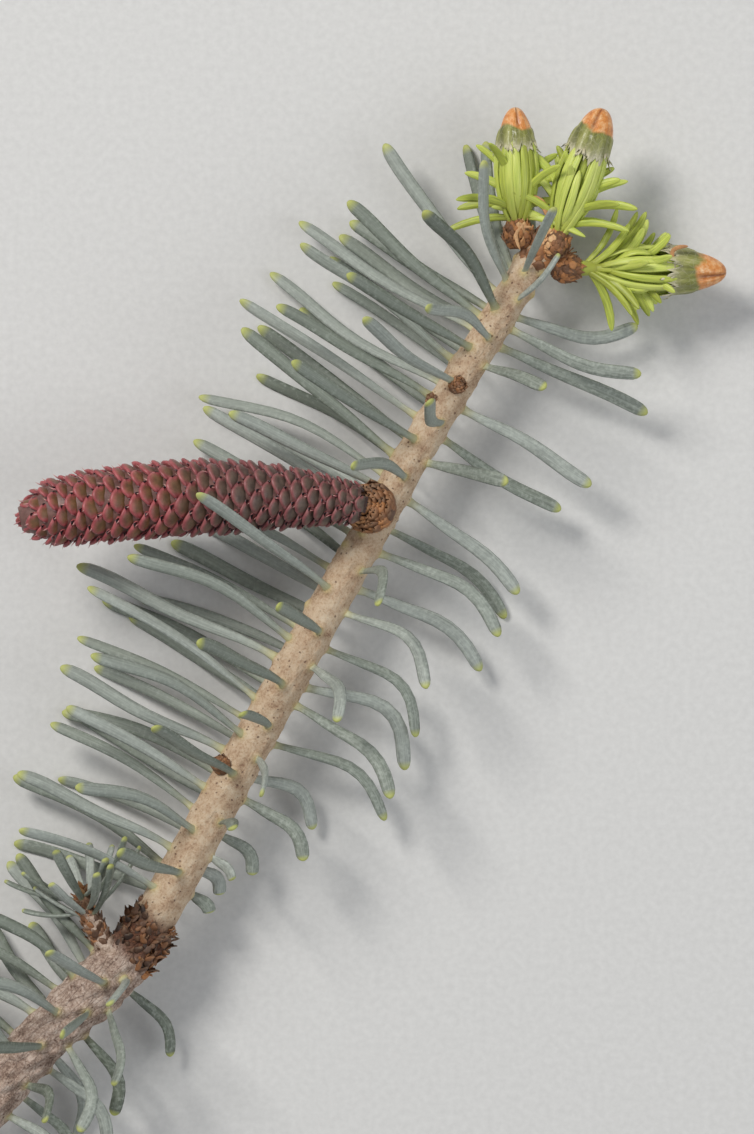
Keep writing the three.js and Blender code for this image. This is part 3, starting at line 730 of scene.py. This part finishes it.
# Cone foot
# The cone sits on a short stalk inside a rosette of papery orange-brown bud scales, what is left of the bud
# that it grew from. They stand ring within ring round the stalk.
CUP_START, CUP_END = np.array((0.9, 9.3, 3.4)), np.array((-2.5, 10.5, 8.1))
CUP_RINGS = [(0.0, 3.4, 14, 2.0), (0.16, 4.2, 17, 2.0), (0.32, 4.7, 19, 1.9), (0.48, 4.8, 19, 1.7),
             (0.62, 4.4, 18, 1.6), (0.74, 3.9, 16, 1.5), (0.85, 3.3, 14, 1.4), (0.95, 2.7, 12, 1.3)]
CONE_STALK = [(0, 2.2), (0.3, 3.6), (0.6, 3.6), (0.9, 2.2), (1, 1.2)]


def sides_of(along):
    """The directions square to a limb's own: to its left, seen from above, and up from it."""
    side = unit(np.cross(UP, along))
    return side, np.cross(along, side)


def straight_limb(start, reach, radius, widths, rings, columns, **values):
    """A straight limb with a share of its radius at each share of its length."""
    shares = np.linspace(0, 1, rings)
    radii = radius * np.interp(shares, *zip(*widths))
    return limb_part(start + np.outer(shares, reach), radii, columns, **values)


shells = new_flakes("shell", 4, Draws(17), width=(1.05, 0.15), curl=(-0.04, 0.06), hollow=0.3, ragged=0.08,
                    thickness=0.09)
cup_draw = Draws(61)
cup_reach = CUP_END - CUP_START
cup_side, cup_over = sides_of(unit(cup_reach))
spots = []
for row, (share, radius, count, length) in enumerate(CUP_RINGS):
    for k in range(count):
        turn = 2 * pi * (k + 0.5 * (row % 2) + cup_draw(0.2)) / count
        out = between(cup_side, cup_over, turn)
        ahead = unit(cup_reach) * 0.9 + out * (0.3 * (1 - share) + cup_draw(0.14))
        size = length * (1 + cup_draw(0.2))
        spots.append((CUP_START + cup_reach * share + out * (radius - 0.7), ahead, out,
                      (size, size * 1.35, size), 0.56 + 0.12 * cos(turn) + cup_draw(0.22)))
keep(strew("cone_foot_scales", shells, spots, scaly, wobble=10, seed=11), "cone_foot")
stalk = straight_limb(CUP_START, cup_reach, 1, CONE_STALK, rings=14, columns=20, edge=0.1, tone=0.45)
keep(new_piece("cone_stalk", *stalk, scaly))
limbs.extend((CUP_START + cup_reach * share, 3.6) for share in np.linspace(0, 1, 14))

# Side buds
# Three small resting buds on last year's shoot, each a little rosette of brown scales that wrap a round
# heart. They point forward and away from the stem.
SIDE_BUDS = [
    ("side_bud_lower", 80.5, 48, 3.6, 1.7, 44),
    ("side_bud_upper", 155.6, 92, 2.6, 1.6, 40),
    ("side_bud_small", 151.5, 38, 1.9, 1.0, 24),
]
SIDE_HEART = [(0, 0.5), (0.3, 0.75), (0.6, 0.7), (0.85, 0.5), (1, 0.2)]


def rosette(start, along, length, radius, count, draw, scale_length, openness):
    """Spots for scales that wrap a small bud from its foot to its tip, each with a chance of -1 to 1."""
    side = unit(np.cross(UP + 0.01, along))
    over = np.cross(along, side)
    for share, turn in spiral(count, draw, 14):
        out = between(side, over, turn)
        swell = sin(pi * (0.14 + 0.74 * share)) ** 0.6
        ahead = along + out * (openness + 0.9 * (0.42 - share) + draw(0.1))
        size = scale_length * (1 - 0.3 * share) * (1 + draw(0.25))
        yield (start + along * length * 0.78 * share + out * radius * (swell - 0.1), ahead, out,
               (size, size * 1.1, size), draw(1))


for name, at, turn, length, radius, count in SIDE_BUDS:
    along_stem, left = stem_frame(at)
    out = between(left, UP, radians(turn))
    ahead = unit(along_stem * 0.4 + out * 0.9)
    foot = axis_point(at) + out * (bark_radius(at) - 1.0)
    found = rosette(foot, ahead, length, radius, count, Draws(count), scale_length=1.3, openness=0.15)
    spots = [(*spot, 0.5 + 0.16 * chance) for *spot, chance in found]
    keep(strew(name + "_scales", shells, spots, scaly, wobble=6, seed=count), name)
    heart = straight_limb(foot, ahead * length * 0.96, radius, SIDE_HEART, rings=8, columns=14,
                          edge=0.0, tone=0.5)
    keep(new_piece(name + "_heart", *heart, scaly))

# Bursting buds
# Three buds open at the tip. Each stands in a scaly brown cup, its soft new needles pushing up in a sheaf
# with a few splayed out, and on their tips they carry the cap of papery scales that they have torn loose.
CUP_BACK, CUP_FRONT, CUP_RADIUS, CUP_SCALES = 3.4, 1.6, 2.9, 140
CUP_HEART = [(0, 0.45), (0.3, 0.82), (0.7, 0.85), (1, 0.5)]
GREEN_STALK = [(0, 1.5), (0.2, 1.2), (1, 0.5)]
YOUNG_LENGTH, YOUNG_WIDTH, YOUNG_THICKNESS = 12.4, 1.42, 0.75
YOUNG_BLADE = dict(
    shares=np.array([0, 0.08, 0.2, 0.35, 0.5, 0.65, 0.8, 0.9, 0.96, 0.985, 1]), columns=10, groove=0.45,
    widths=[(0, 0.6), (0.2, 0.82), (0.5, 1.0), (0.8, 0.92), (0.92, 0.74), (0.975, 0.46), (1, 0.14)])
SHEAF_LAYERS, SHEAF_WIDTH = [(1.0, 16), (0.72, 11), (0.4, 6)], 1.5
CAP_COLUMNS, CAP_WALL, ORANGE_FROM = 72, 0.12, 0.46
SHREDS, TIP_SCALES = 34, 90
CURLED_SCALES = [
    (((26.0, 57.0, 3.2), (22.0, 57.4, 4.2), (24.0, 53.2, 4.0)), 0.62, 0.95),
    (((25.0, 62.2, 2.4), (28.2, 62.0, 3.4), (28.6, 58.8, 2.6)), 1.2, 0.86),
    (((50.0, 51.4, 2.2), (48.4, 53.8, 3.0), (52.2, 53.8, 2.8)), 0.8, 0.86),
]
TABLE, LOWEST_LINE = 0.1 - STEM_HEIGHT, 0.6 - STEM_HEIGHT

# The sheaf and the skirt are widths, the bundle and the cap lengths. Needles start at shares of the bundle:
# the sheaf's within the opening, the splayed ones up to their own share. The cup's scales that face the
# direction given last are painted paler, a painted highlight.
BUDS = [
    SimpleNamespace(name="left", foot=(23.7, 56.8, 1.0), heading=91.5, rise=2, bundle=13.8, sheaf=7.9,
                    cap=6.6, skirt=6.6, fullness=1.2, seed=21, opening=(0.0, 0.15), splayed=16,
                    splay=(105, 26), splayed_to=0.45, painted_highlight=(0.2, 0.6, 0.8)),
    SimpleNamespace(name="middle", foot=(30.2, 55.0, 1.5), heading=70.5, rise=5, bundle=15.4, sheaf=8.2,
                    cap=7.9, skirt=7.2, fullness=1.8, seed=22, opening=(0.0, 0.15), splayed=20,
                    splay=(88, 28), splayed_to=0.42, painted_highlight=(-0.5, 0.5, 0.7)),
    SimpleNamespace(name="right", foot=(32.6, 50.3, -0.5), heading=-1.5, rise=-2, bundle=16.6, sheaf=8.6,
                    cap=9.6, skirt=8.2, fullness=1.3, seed=23, opening=(0.2, 0.55), splayed=30,
                    splay=(66, 40), splayed_to=0.5, painted_highlight=(0.8, 0.3, 0.5)),
]


def drawn_out(finish, across, down, roughness):
    """Noise drawn out along a needle, and different on each one."""
    lines = finish.add("ShaderNodeCombineXYZ", {}, X=finish.times("round", across),
                       Y=finish.times("along", down), Z=finish.times("tone", 90))
    return finish.noise(1, 3, roughness, lines.outputs[0])


tender = Finish("young_needle", 0.42)
sap = drawn_out(tender, 3.6, 3.0, 0.6)
fresh = tender.steps("tone", (0.0, (150, 158, 60)), (0.5, (190, 202, 88)), (1.0, (214, 224, 120)))
foot_shade = tender.steps("along", (0.0, 200), (0.3, 0))
striped = tender.blend(0.8, fresh, sap, "OVERLAY")
tender.set(Base_Color=tender.blend(foot_shade, striped, (170, 172, 72)), Subsurface_Weight=0.15,
           Subsurface_Radius=(0.0008, 0.001, 0.0003), Subsurface_Scale=1.0)
tender.bump(sap, 0.4, 0.00015)

papery = Finish("papery_cap", 0.36)
crumple = papery.noise(900, 5, 0.65)
folds = papery.noise(1, 3, 0.6, "wrap")
film = papery.steps(folds, (0.3, (92, 94, 40)), (0.48, (124, 126, 56)), (0.62, (150, 152, 76)),
                    (0.75, (188, 184, 130)))
threads = papery.steps(papery.cells(800, "DISTANCE_TO_EDGE")["Distance"], (0.0, 120), (0.06, 0))
torn_edge = papery.steps("along", (0.0, 235), (0.14, 120), (0.3, 15), (0.5, 0))
whitish = papery.maths("MULTIPLY_ADD", papery.times(torn_edge, crumple), 1.5, threads, clamped=True)
torn_film = papery.blend(whitish, film, (222, 214, 184))
resin = papery.steps(crumple, (0.3, (196, 112, 46)), (0.5, (230, 152, 78)), (0.7, (250, 208, 156)))
# Painted shade: the orange darkens to deep brown along the cleft in the nose.
resin_with_cleft_shade = papery.blend("cleft", resin, (118, 56, 24))
wavy = papery.times(papery.noise(260, 2, 0.5), 0.6, "along")
orange_share = papery.steps(wavy, (ORANGE_FROM + 0.27, 0), (ORANGE_FROM + 0.36, 255))
gloss = papery.steps(orange_share, (0.0, 200), (1.0, 150))
papery.set(Base_Color=papery.blend(orange_share, torn_film, resin_with_cleft_shade), Roughness=gloss, Coat_Weight=0.35,
           Coat_Roughness=0.2)
papery.bump(papery.times(folds, 1.5, crumple), 0.7, 0.0004)

torn = Finish("torn_paper", 0.6)
dull = torn.steps(torn.noise(1400, 4, 0.6), (0.35, (150, 140, 96)), (0.65, (196, 186, 144)))
torn.set(Base_Color=torn.blend("edge", dull, (228, 220, 192)))


def blade(points, aim, size, thickness, tone, shares, widths, columns, groove, twist=0.0, foot=0.0):
    """A closed flat blade along a row of points: an oval section with a shallow groove on its upper side."""
    headings = unit(np.gradient(points, axis=0))
    acrosses = square_to(headings, aim)
    acrosses = between(acrosses, np.cross(headings, acrosses), twist)
    angles = ring_angles(columns)
    side, over = np.cos(angles), np.sin(angles)
    over = over * (1 - groove * (over > 0) * np.exp(-((side / 0.35) ** 2)))
    outline = np.interp(shares, *zip(*widths))
    depths = thickness / 2 * np.sqrt(outline) + foot * np.exp(-((shares / 0.03) ** 2))
    rows = rings_along(points, acrosses, np.cross(headings, acrosses), (size / 2 * outline)[:, None] * side,
                       depths[:, None] * over)
    rows[:, :, 2] = np.maximum(rows[:, :, 2], TABLE)
    reached = np.concatenate([[0], np.cumsum(np.linalg.norm(np.diff(points, axis=0), axis=1))])
    bands = np.exp(-(((np.abs(side) - 0.5) / 0.2) ** 2)) * (over < 0)
    count = len(points)
    values = {
        "along": np.repeat(reached / reached[-1], columns),
        "tone": np.full(count * columns, tone),
        "band": np.tile(bands, count) * 0.5,
        "round": np.tile(np.where(over < 0, 2.5 - side, side), count),
    }
    return rows.reshape(-1, 3), closed_faces(count, columns), values


def curved_part(corners, width, thickness, facing, tone):
    """A blade on a curve from the first corner to the last, drawn towards the middle one."""
    share = YOUNG_BLADE["shares"][:, None]
    start, guide, end = np.asarray(corners)
    points = (1 - share) ** 2 * start + 2 * share * (1 - share) * guide + share ** 2 * end
    return blade(points, np.cross(facing, np.gradient(points, axis=0)), width, thickness, tone, **YOUNG_BLADE)


def bud_point(bud, level, out, radius):
    """A point so far up a bud and so far out from its middle."""
    return bud.foot + bud.along * level + out * radius


def sheaf_parts(bud, draw):
    """Needles that lie side by side in layers, widest half way up, and run in under the cap."""
    parts = []
    low, high = bud.opening
    for layer, count in SHEAF_LAYERS:
        for k in range(count):
            turn = 2 * pi * (k + layer + draw(0.14)) / count
            out = between(bud.side, bud.over, turn)
            end_out = between(bud.side, bud.over, turn + draw(0.2))
            level = bud.bundle * (low + (high - low) * ((k * 0.618 + layer) % 1))
            reach = bud.bundle * (1.13 + draw(0.05))
            end_radius = (bud.skirt / 2 - 0.75) * layer
            if draw(1) > 0.7:
                reach, end_radius = bud.bundle * 0.8, end_radius + 0.4
            bulge = 2 * (bud.sheaf / 2 - 0.45) * layer - 0.5 * end_radius - 0.35
            middle = level * 0.55 + reach * 0.45
            corners = (bud_point(bud, level, out, 0.7), bud_point(bud, middle, out, bulge),
                       bud_point(bud, reach, end_out, end_radius))
            parts.append(curved_part(corners, SHEAF_WIDTH * (1 + draw(0.1)), YOUNG_THICKNESS, out,
                                     0.6 + draw(0.36)))
    return parts


def splayed_parts(bud, draw):
    """Needles that stand out from the lower sheaf, most of them to its sides, and the lowest the widest."""
    parts = []
    widest, narrowest = bud.splay
    for k in range(bud.splayed):
        share = k / bud.splayed
        turn = radians(DIVERGENCE * k + draw(20))
        turn -= 0.36 * sin(2 * turn)
        out = between(bud.side, bud.over, turn)
        splay = radians(widest + (narrowest - widest) * share + draw(9))
        splay *= 1 - 0.4 * sin(turn) ** 2
        level = CUP_FRONT * 0.6 + bud.bundle * (0.03 + bud.splayed_to * share)
        length = YOUNG_LENGTH * (1 + draw(0.14)) * (1 - 0.2 * share)
        if length * sin(splay) < bud.skirt / 2 + 1:
            length = min(length, (bud.bundle - 0.8 - level) / cos(splay))
        start = bud.foot + bud.along * level
        guide = start + (bud.along * (0.4 * cos(splay) + 0.2) + out * 0.36 * sin(splay)) * length
        corners = np.array([start, guide, start + between(bud.along, out, splay) * length])
        corners[:, 2] = np.maximum(corners[:, 2], LOWEST_LINE)
        facing = unit(UP + out * 0.5 + bud.side * draw(0.5))
        parts.append(curved_part(corners, YOUNG_WIDTH * (1 + draw(0.12)), YOUNG_THICKNESS, facing,
                                 0.55 + draw(0.4)))
    return parts


def cap_part(bud, draw):
    """The cap as a thin shell: torn at its skirt, folded over the needles, cleft at its orange nose."""
    angles = ring_angles(CAP_COLUMNS)
    teeth = sum(np.sin(angles * waves + draw(3)) * 0.035 for waves in (2, 5, 9, 14, 23, 31))
    seam = draw(0.4)
    outer = np.concatenate([[-0.06, -0.03], np.sin(np.linspace(0, pi / 2, 26))])
    walls = [(share, CAP_WALL) for share in np.linspace(0.75, -0.05, 8)] + [(share, 0) for share in outer]
    outs = np.outer(np.cos(angles), bud.side) + np.outer(np.sin(angles), bud.over)
    rings, alongs, clefts, wraps = [], [], [], []
    for share, wall in walls:
        step = 0.14 * (1 - smooth(share, ORANGE_FROM - 0.03, ORANGE_FROM + 0.02))
        ridges = 0.12 * np.cos(angles * 11 + 2 * share) * (1 - smooth(share, 0.3, 0.6))
        groove = np.exp(-((np.sin(angles - pi / 2 - seam) / 0.16) ** 2)) * smooth(share, 0.42, 0.6)
        lumps = 0.1 * np.sin(angles * 3 + share * 9 + seam) * smooth(share, 0.1, 0.3) * (1 - share)
        half = bud.skirt / 2 * (1 - np.clip(share, 0, 1) ** bud.fullness) ** 0.45
        radius = half * (1 - 0.2 * groove) + (step + ridges + lumps) * (share < 0.995) - wall
        level = bud.bundle + bud.cap * (share + teeth * smooth(0.22 - share, 0, 0.3) * 1.7)
        rings.append(bud_point(bud, level[:, None], outs, np.maximum(radius, 0.05)[:, None]))
        alongs.append(max(0.0, share))
        clefts.append(groove * 0.65)
        wraps.extend((cos(angle) * 3.4, sin(angle) * 3.4, share * 1.4) for angle in angles)
    values = dict(along=np.repeat(alongs, CAP_COLUMNS), cleft=np.concatenate(clefts), wrap=wraps)
    return np.concatenate(rings), closed_faces(len(rings), CAP_COLUMNS), values


shreds = new_flakes("shred", 5, Draws(83), width=(0.42, 0.2), curl=(0, 0.35), hollow=0.1, ragged=0.35,
                    thickness=0.04)
tip_draw = Draws(19)
spots = []
for share, turn in spiral(TIP_SCALES, tip_draw, 20):
    at = STEM_LENGTH - 5.5 + 6 * share
    along_stem, left = stem_frame(at)
    out = between(left, UP, turn)
    inward = 1 - 0.55 * smooth(share, 0.8, 1)
    place = axis_point(STEM_LENGTH) + along_stem * (at - STEM_LENGTH) + out * bark_radius(at) * inward
    ahead = along_stem + out * (0.1 + tip_draw(0.25)) * inward - out * 0.8 * (1 - inward)
    size = 1.7 + tip_draw(0.5)
    spots.append((place, ahead, out, (size, size * 1.2, size * 1.3), 0.66 - 0.14 * share + tip_draw(0.2)))
keep(strew("stem_tip_scales", shells, spots, scaly, wobble=14, seed=8))
curls = [curved_part(corners, width, 0.22, unit((0.2, -0.4, 1)), tone)
         for corners, width, tone in CURLED_SCALES]
keep(new_piece("curled_scales", *join_parts(curls), scaly))

for bud in BUDS:
    bud_draw = Draws(bud.seed)
    bud.foot = np.array(bud.foot)
    bud.along = between(towards(bud.heading), UP, radians(bud.rise))
    bud.side, bud.over = sides_of(bud.along)
    for level in np.linspace(-3, bud.bundle + bud.cap, 10):
        limbs.append((bud.foot + bud.along * level, 2.9 if level < 2 else 3.6))
    parts = sheaf_parts(bud, bud_draw) + splayed_parts(bud, bud_draw)
    parts.append(straight_limb(bud.foot, bud.along * bud.bundle, 1, GREEN_STALK, rings=14, columns=14,
                               along=0.12, tone=0.1, band=0.0, round=np.linspace(0, 1, 14)))
    sheaf = new_piece(f"young_shoot_{bud.name}_fine", *join_parts(parts), tender)
    keep(sheaf, f"young_shoot_{bud.name}")

    cup = f"bud_cup_{bud.name}"
    start = bud.foot - bud.along * CUP_BACK
    found = rosette(start, bud.along, CUP_BACK + CUP_FRONT + 1.2, CUP_RADIUS, CUP_SCALES, bud_draw,
                    scale_length=1.35, openness=0.0)
    spots = []
    for k, (place, ahead, out, size, chance) in enumerate(found):
        # Painted highlight: the scales that face the bud's given direction are made paler.
        painted_highlight = smooth(np.dot(out, unit(bud.painted_highlight)), 0.5, 0.9)
        spots.append((place, ahead, out, size, 0.52 + 0.14 * k / CUP_SCALES + 0.2 * chance + 0.3 * painted_highlight))
    keep(strew(cup + "_scales", shells + flakes, spots, scaly, wobble=16, seed=bud.seed), cup)
    heart = straight_limb(start, bud.along * (CUP_BACK + CUP_FRONT), CUP_RADIUS, CUP_HEART,
                          rings=12, columns=18, edge=0.0, tone=0.4)
    keep(new_piece(cup + "_heart", *heart, scaly))

    cap = f"bud_cap_{bud.name}"
    keep(new_piece(cap + "_papery", *cap_part(bud, bud_draw), papery), cap)
    spots = []
    for _, turn in spiral(SHREDS, bud_draw, 30):
        out = between(bud.side, bud.over, turn)
        level = bud.bundle + bud.cap * (0.08 + bud_draw(0.07))
        ahead = out * (0.16 + bud_draw(0.2)) - bud.along
        ahead = ahead + np.cross(bud.along, out) * bud_draw(0.5)
        spots.append((bud_point(bud, level, out, bud.skirt / 2 * 0.99), ahead, out, 1.3 + bud_draw(0.7), 0.5))
    keep(strew(cap + "_shreds", shreds, spots, torn, wobble=16, seed=bud.seed))

# Needle masses
# Every needle is one flat, blunt blade, thick in the middle, on a narrow yellow foot that grows out of the
# bark. Wax makes it blue-grey with faint lines along it, and its rounded tip is yellow-green.
NEEDLE_WIDTH, NEEDLE_THICKNESS = 2.35, 1.0
NEEDLE_SHARES = np.array([0, 0.03, 0.07, 0.12, 0.2, 0.29, 0.38, 0.47, 0.56, 0.65, 0.74, 0.83, 0.9, 0.945,
                          0.975, 0.99, 1])
NEEDLE_WIDTHS = [(0, 0.9), (0.02, 0.74), (0.05, 0.52), (0.12, 0.56), (0.3, 0.77), (0.6, 0.95), (0.88, 1.0),
                 (0.95, 0.9), (0.985, 0.62), (1, 0.2)]
NEEDLE_STEPS, NEEDLE_COLUMNS, GROOVE = 60, 10, 0.35
FOOT_SHARES, FOOT_BEND, FOOT_SWELL = 4, 0.112, 0.3
CLEARANCE = 1.0

waxy = Finish("fir_needle", 0.5)
streaks = drawn_out(waxy, 5.5, 4.0, 0.65)
wax = waxy.noise(1500, 4, 0.6)
body = waxy.steps("tone", (0.0, (97, 105, 91)), (0.3, (124, 132, 119)), (0.6, (144, 151, 141)),
                  (1.0, (168, 174, 166)))
lined = waxy.blend(0.75, waxy.blend(0.35, body, wax, "OVERLAY"), streaks, "OVERLAY")
midline = waxy.steps(waxy.maths("ABSOLUTE", "round"), (0.0, 120), (0.24, 0))
patches = waxy.steps(wax, (0.48, 0), (0.64, 150))
whitened = waxy.maths("MAXIMUM", waxy.maths("MAXIMUM", "band", patches), midline)
ends = waxy.steps("along", (0.0, 245), (0.05, 185), (0.11, 75), (0.2, 0), (0.94, 0), (0.985, 235))
yellowed = waxy.steps("along", (0.04, (212, 202, 140)), (0.2, (190, 190, 112)), (0.9, (190, 194, 100)))
waxy.set(Base_Color=waxy.blend(ends, waxy.blend(whitened, lined, (192, 198, 188)), yellowed))
waxy.bump(waxy.times(streaks, 2.0, wax), 0.3, 0.00015)


def is_clear(points):
    """Whether a needle keeps clear of the cone, its foot and the bursting buds."""
    middles, radii = (np.array(column) for column in zip(*limbs))
    away = np.linalg.norm(points[:, None, :] - middles[None, :, :], axis=2)
    return np.all(away > radii + CLEARANCE)


def walk(start, length, steps, direction):
    """Points in even steps, each in the direction for its share of the way, and never through the table."""
    track = [start]
    for k in range(steps):
        point = track[-1] + direction((k + 0.5) / steps) * length / steps
        point[2] = max(point[2], LOWEST_LINE)
        track.append(point)
    return track


def needle_part(line, draw):
    """One needle of the rule as a fine blade, or nothing where it would run into a limb."""
    along_stem, left = stem_frame(line.station)
    natural, angle, right = line.natural, line.angle, line.right
    root = bark_radius(line.station) - NEEDLE_ROOT
    wave = draw(9)

    def direction(share):
        out = between(left, UP, natural + (angle - natural) * smooth(share, 0, FOOT_BEND))
        bend = share * (1 - right) + smooth(share, 0.4, 0.9) * right
        lean = radians(line.lean - line.droop * bend + wave * sin(2 * pi * share))
        return between(out, along_stem, lean)

    start = axis_point(line.station) + between(left, UP, natural) * root
    points = on_track(walk(start, line.length, NEEDLE_STEPS, direction), NEEDLE_SHARES)
    size = 1 + draw(0.08)
    if not is_clear(points[FOOT_SHARES:]):
        return None
    return blade(points, along_stem, NEEDLE_WIDTH * size, NEEDLE_THICKNESS * size, 0.5 + draw(0.5),
                 NEEDLE_SHARES, NEEDLE_WIDTHS, NEEDLE_COLUMNS, GROOVE, line.twist, FOOT_SWELL)


for name, lines in needle_lines.items():
    look_draw = Draws(len(lines) * 7 + len(name))
    parts = [part for part in (needle_part(line, look_draw) for line in lines) if part]
    keep(new_piece(name + "_fine", *join_parts(parts), waxy), name)

# Side spur
# A short, thick twig beside the ring with bark like the old wood's. It is crowned by old bud scales and a
# tuft of needles that fan out to the left.
SPUR_FOOT, SPUR_HEADINGS = np.array((-43.9, -66.1, 1.5)), (125, 108)
SPUR_LENGTH, SPUR_RADIUS, SPUR_STEPS, SPUR_COLUMNS = 13.5, 1.8, 60, 32
SPUR_WIDTHS = [(0, 1.1), (0.25, 1.05), (0.5, 1), (0.75, 0.85), (0.95, 0.45), (1, 0.1)]
SPUR_SCALES, SPUR_NEEDLES = 210, 15
TUFT_LENGTH, TUFT_WIDTH, TUFT_THICKNESS, TUFT_STEPS, TUFT_COLUMNS = 13, 1.9, 0.9, 36, 8
TUFT_SHARES = np.array([0, 0.04, 0.1, 0.2, 0.34, 0.5, 0.66, 0.8, 0.9, 0.96, 0.985, 1])

spur_points = curving_line(SPUR_FOOT, SPUR_HEADINGS, SPUR_LENGTH, 0, SPUR_STEPS)
shares = np.linspace(0, 1, SPUR_STEPS + 1)
angles = ring_angles(SPUR_COLUMNS)
knobs = np.sin(angles * 5 + shares[:, None] * 31) + np.sin(angles * 3 - shares[:, None] * 47)
spur_radii = (SPUR_RADIUS * np.interp(shares, *zip(*SPUR_WIDTHS)))[:, None] * (1 + 0.05 * knobs)
keep(new_piece("spur_twig", *limb_part(spur_points, spur_radii, SPUR_COLUMNS, age=0.85), bark))


def twig_along(at, reach):
    """The twig's direction at one of its points, over a few points on each side."""
    return unit(spur_points[min(SPUR_STEPS, at + reach)] - spur_points[at - reach])


husk_draw = Draws(53)
spots = []
for share, turn in spiral(SPUR_SCALES, husk_draw, 20):
    share = 0.22 + 0.78 * share
    at = int(share * SPUR_STEPS)
    out = between(*sides_of(twig_along(at, 2)), turn)
    ahead = twig_along(at, 2) + out * (0.14 + husk_draw(0.22))
    size = 1.25 + husk_draw(0.4)
    spots.append((spur_points[at] + out * (spur_radii[at].mean() - 0.15), ahead, out,
                  (size, size * 1.2, size * 1.3), 0.44 + 0.3 * smooth(share, 0.75, 0.95) + husk_draw(0.24)))
keep(strew("spur_scales", flakes, spots, scaly, wobble=22, seed=4))

spur_draw = Draws(31)
parts = []
for k in range(SPUR_NEEDLES):
    at = int((0.62 + 0.3 * k / SPUR_NEEDLES) * SPUR_STEPS)
    along_twig = twig_along(at, 3)
    out = between(*sides_of(along_twig), radians(DIVERGENCE * k + spur_draw(15)))
    splay = 50 + spur_draw(18)
    length = TUFT_LENGTH * (1 + spur_draw(0.2))
    start = spur_points[at] + out * TUFT_WIDTH * 0.3
    track = walk(start, length, TUFT_STEPS,
                 lambda share: between(along_twig, out, radians(splay * (1.25 - 0.5 * share))))
    parts.append(blade(on_track(track, TUFT_SHARES), np.cross(along_twig, out), TUFT_WIDTH, TUFT_THICKNESS,
                       0.5 + spur_draw(0.5), TUFT_SHARES, NEEDLE_WIDTHS, TUFT_COLUMNS, GROOVE))
keep(new_piece("needles_spur_fine", *join_parts(parts), waxy), "needles_spur")
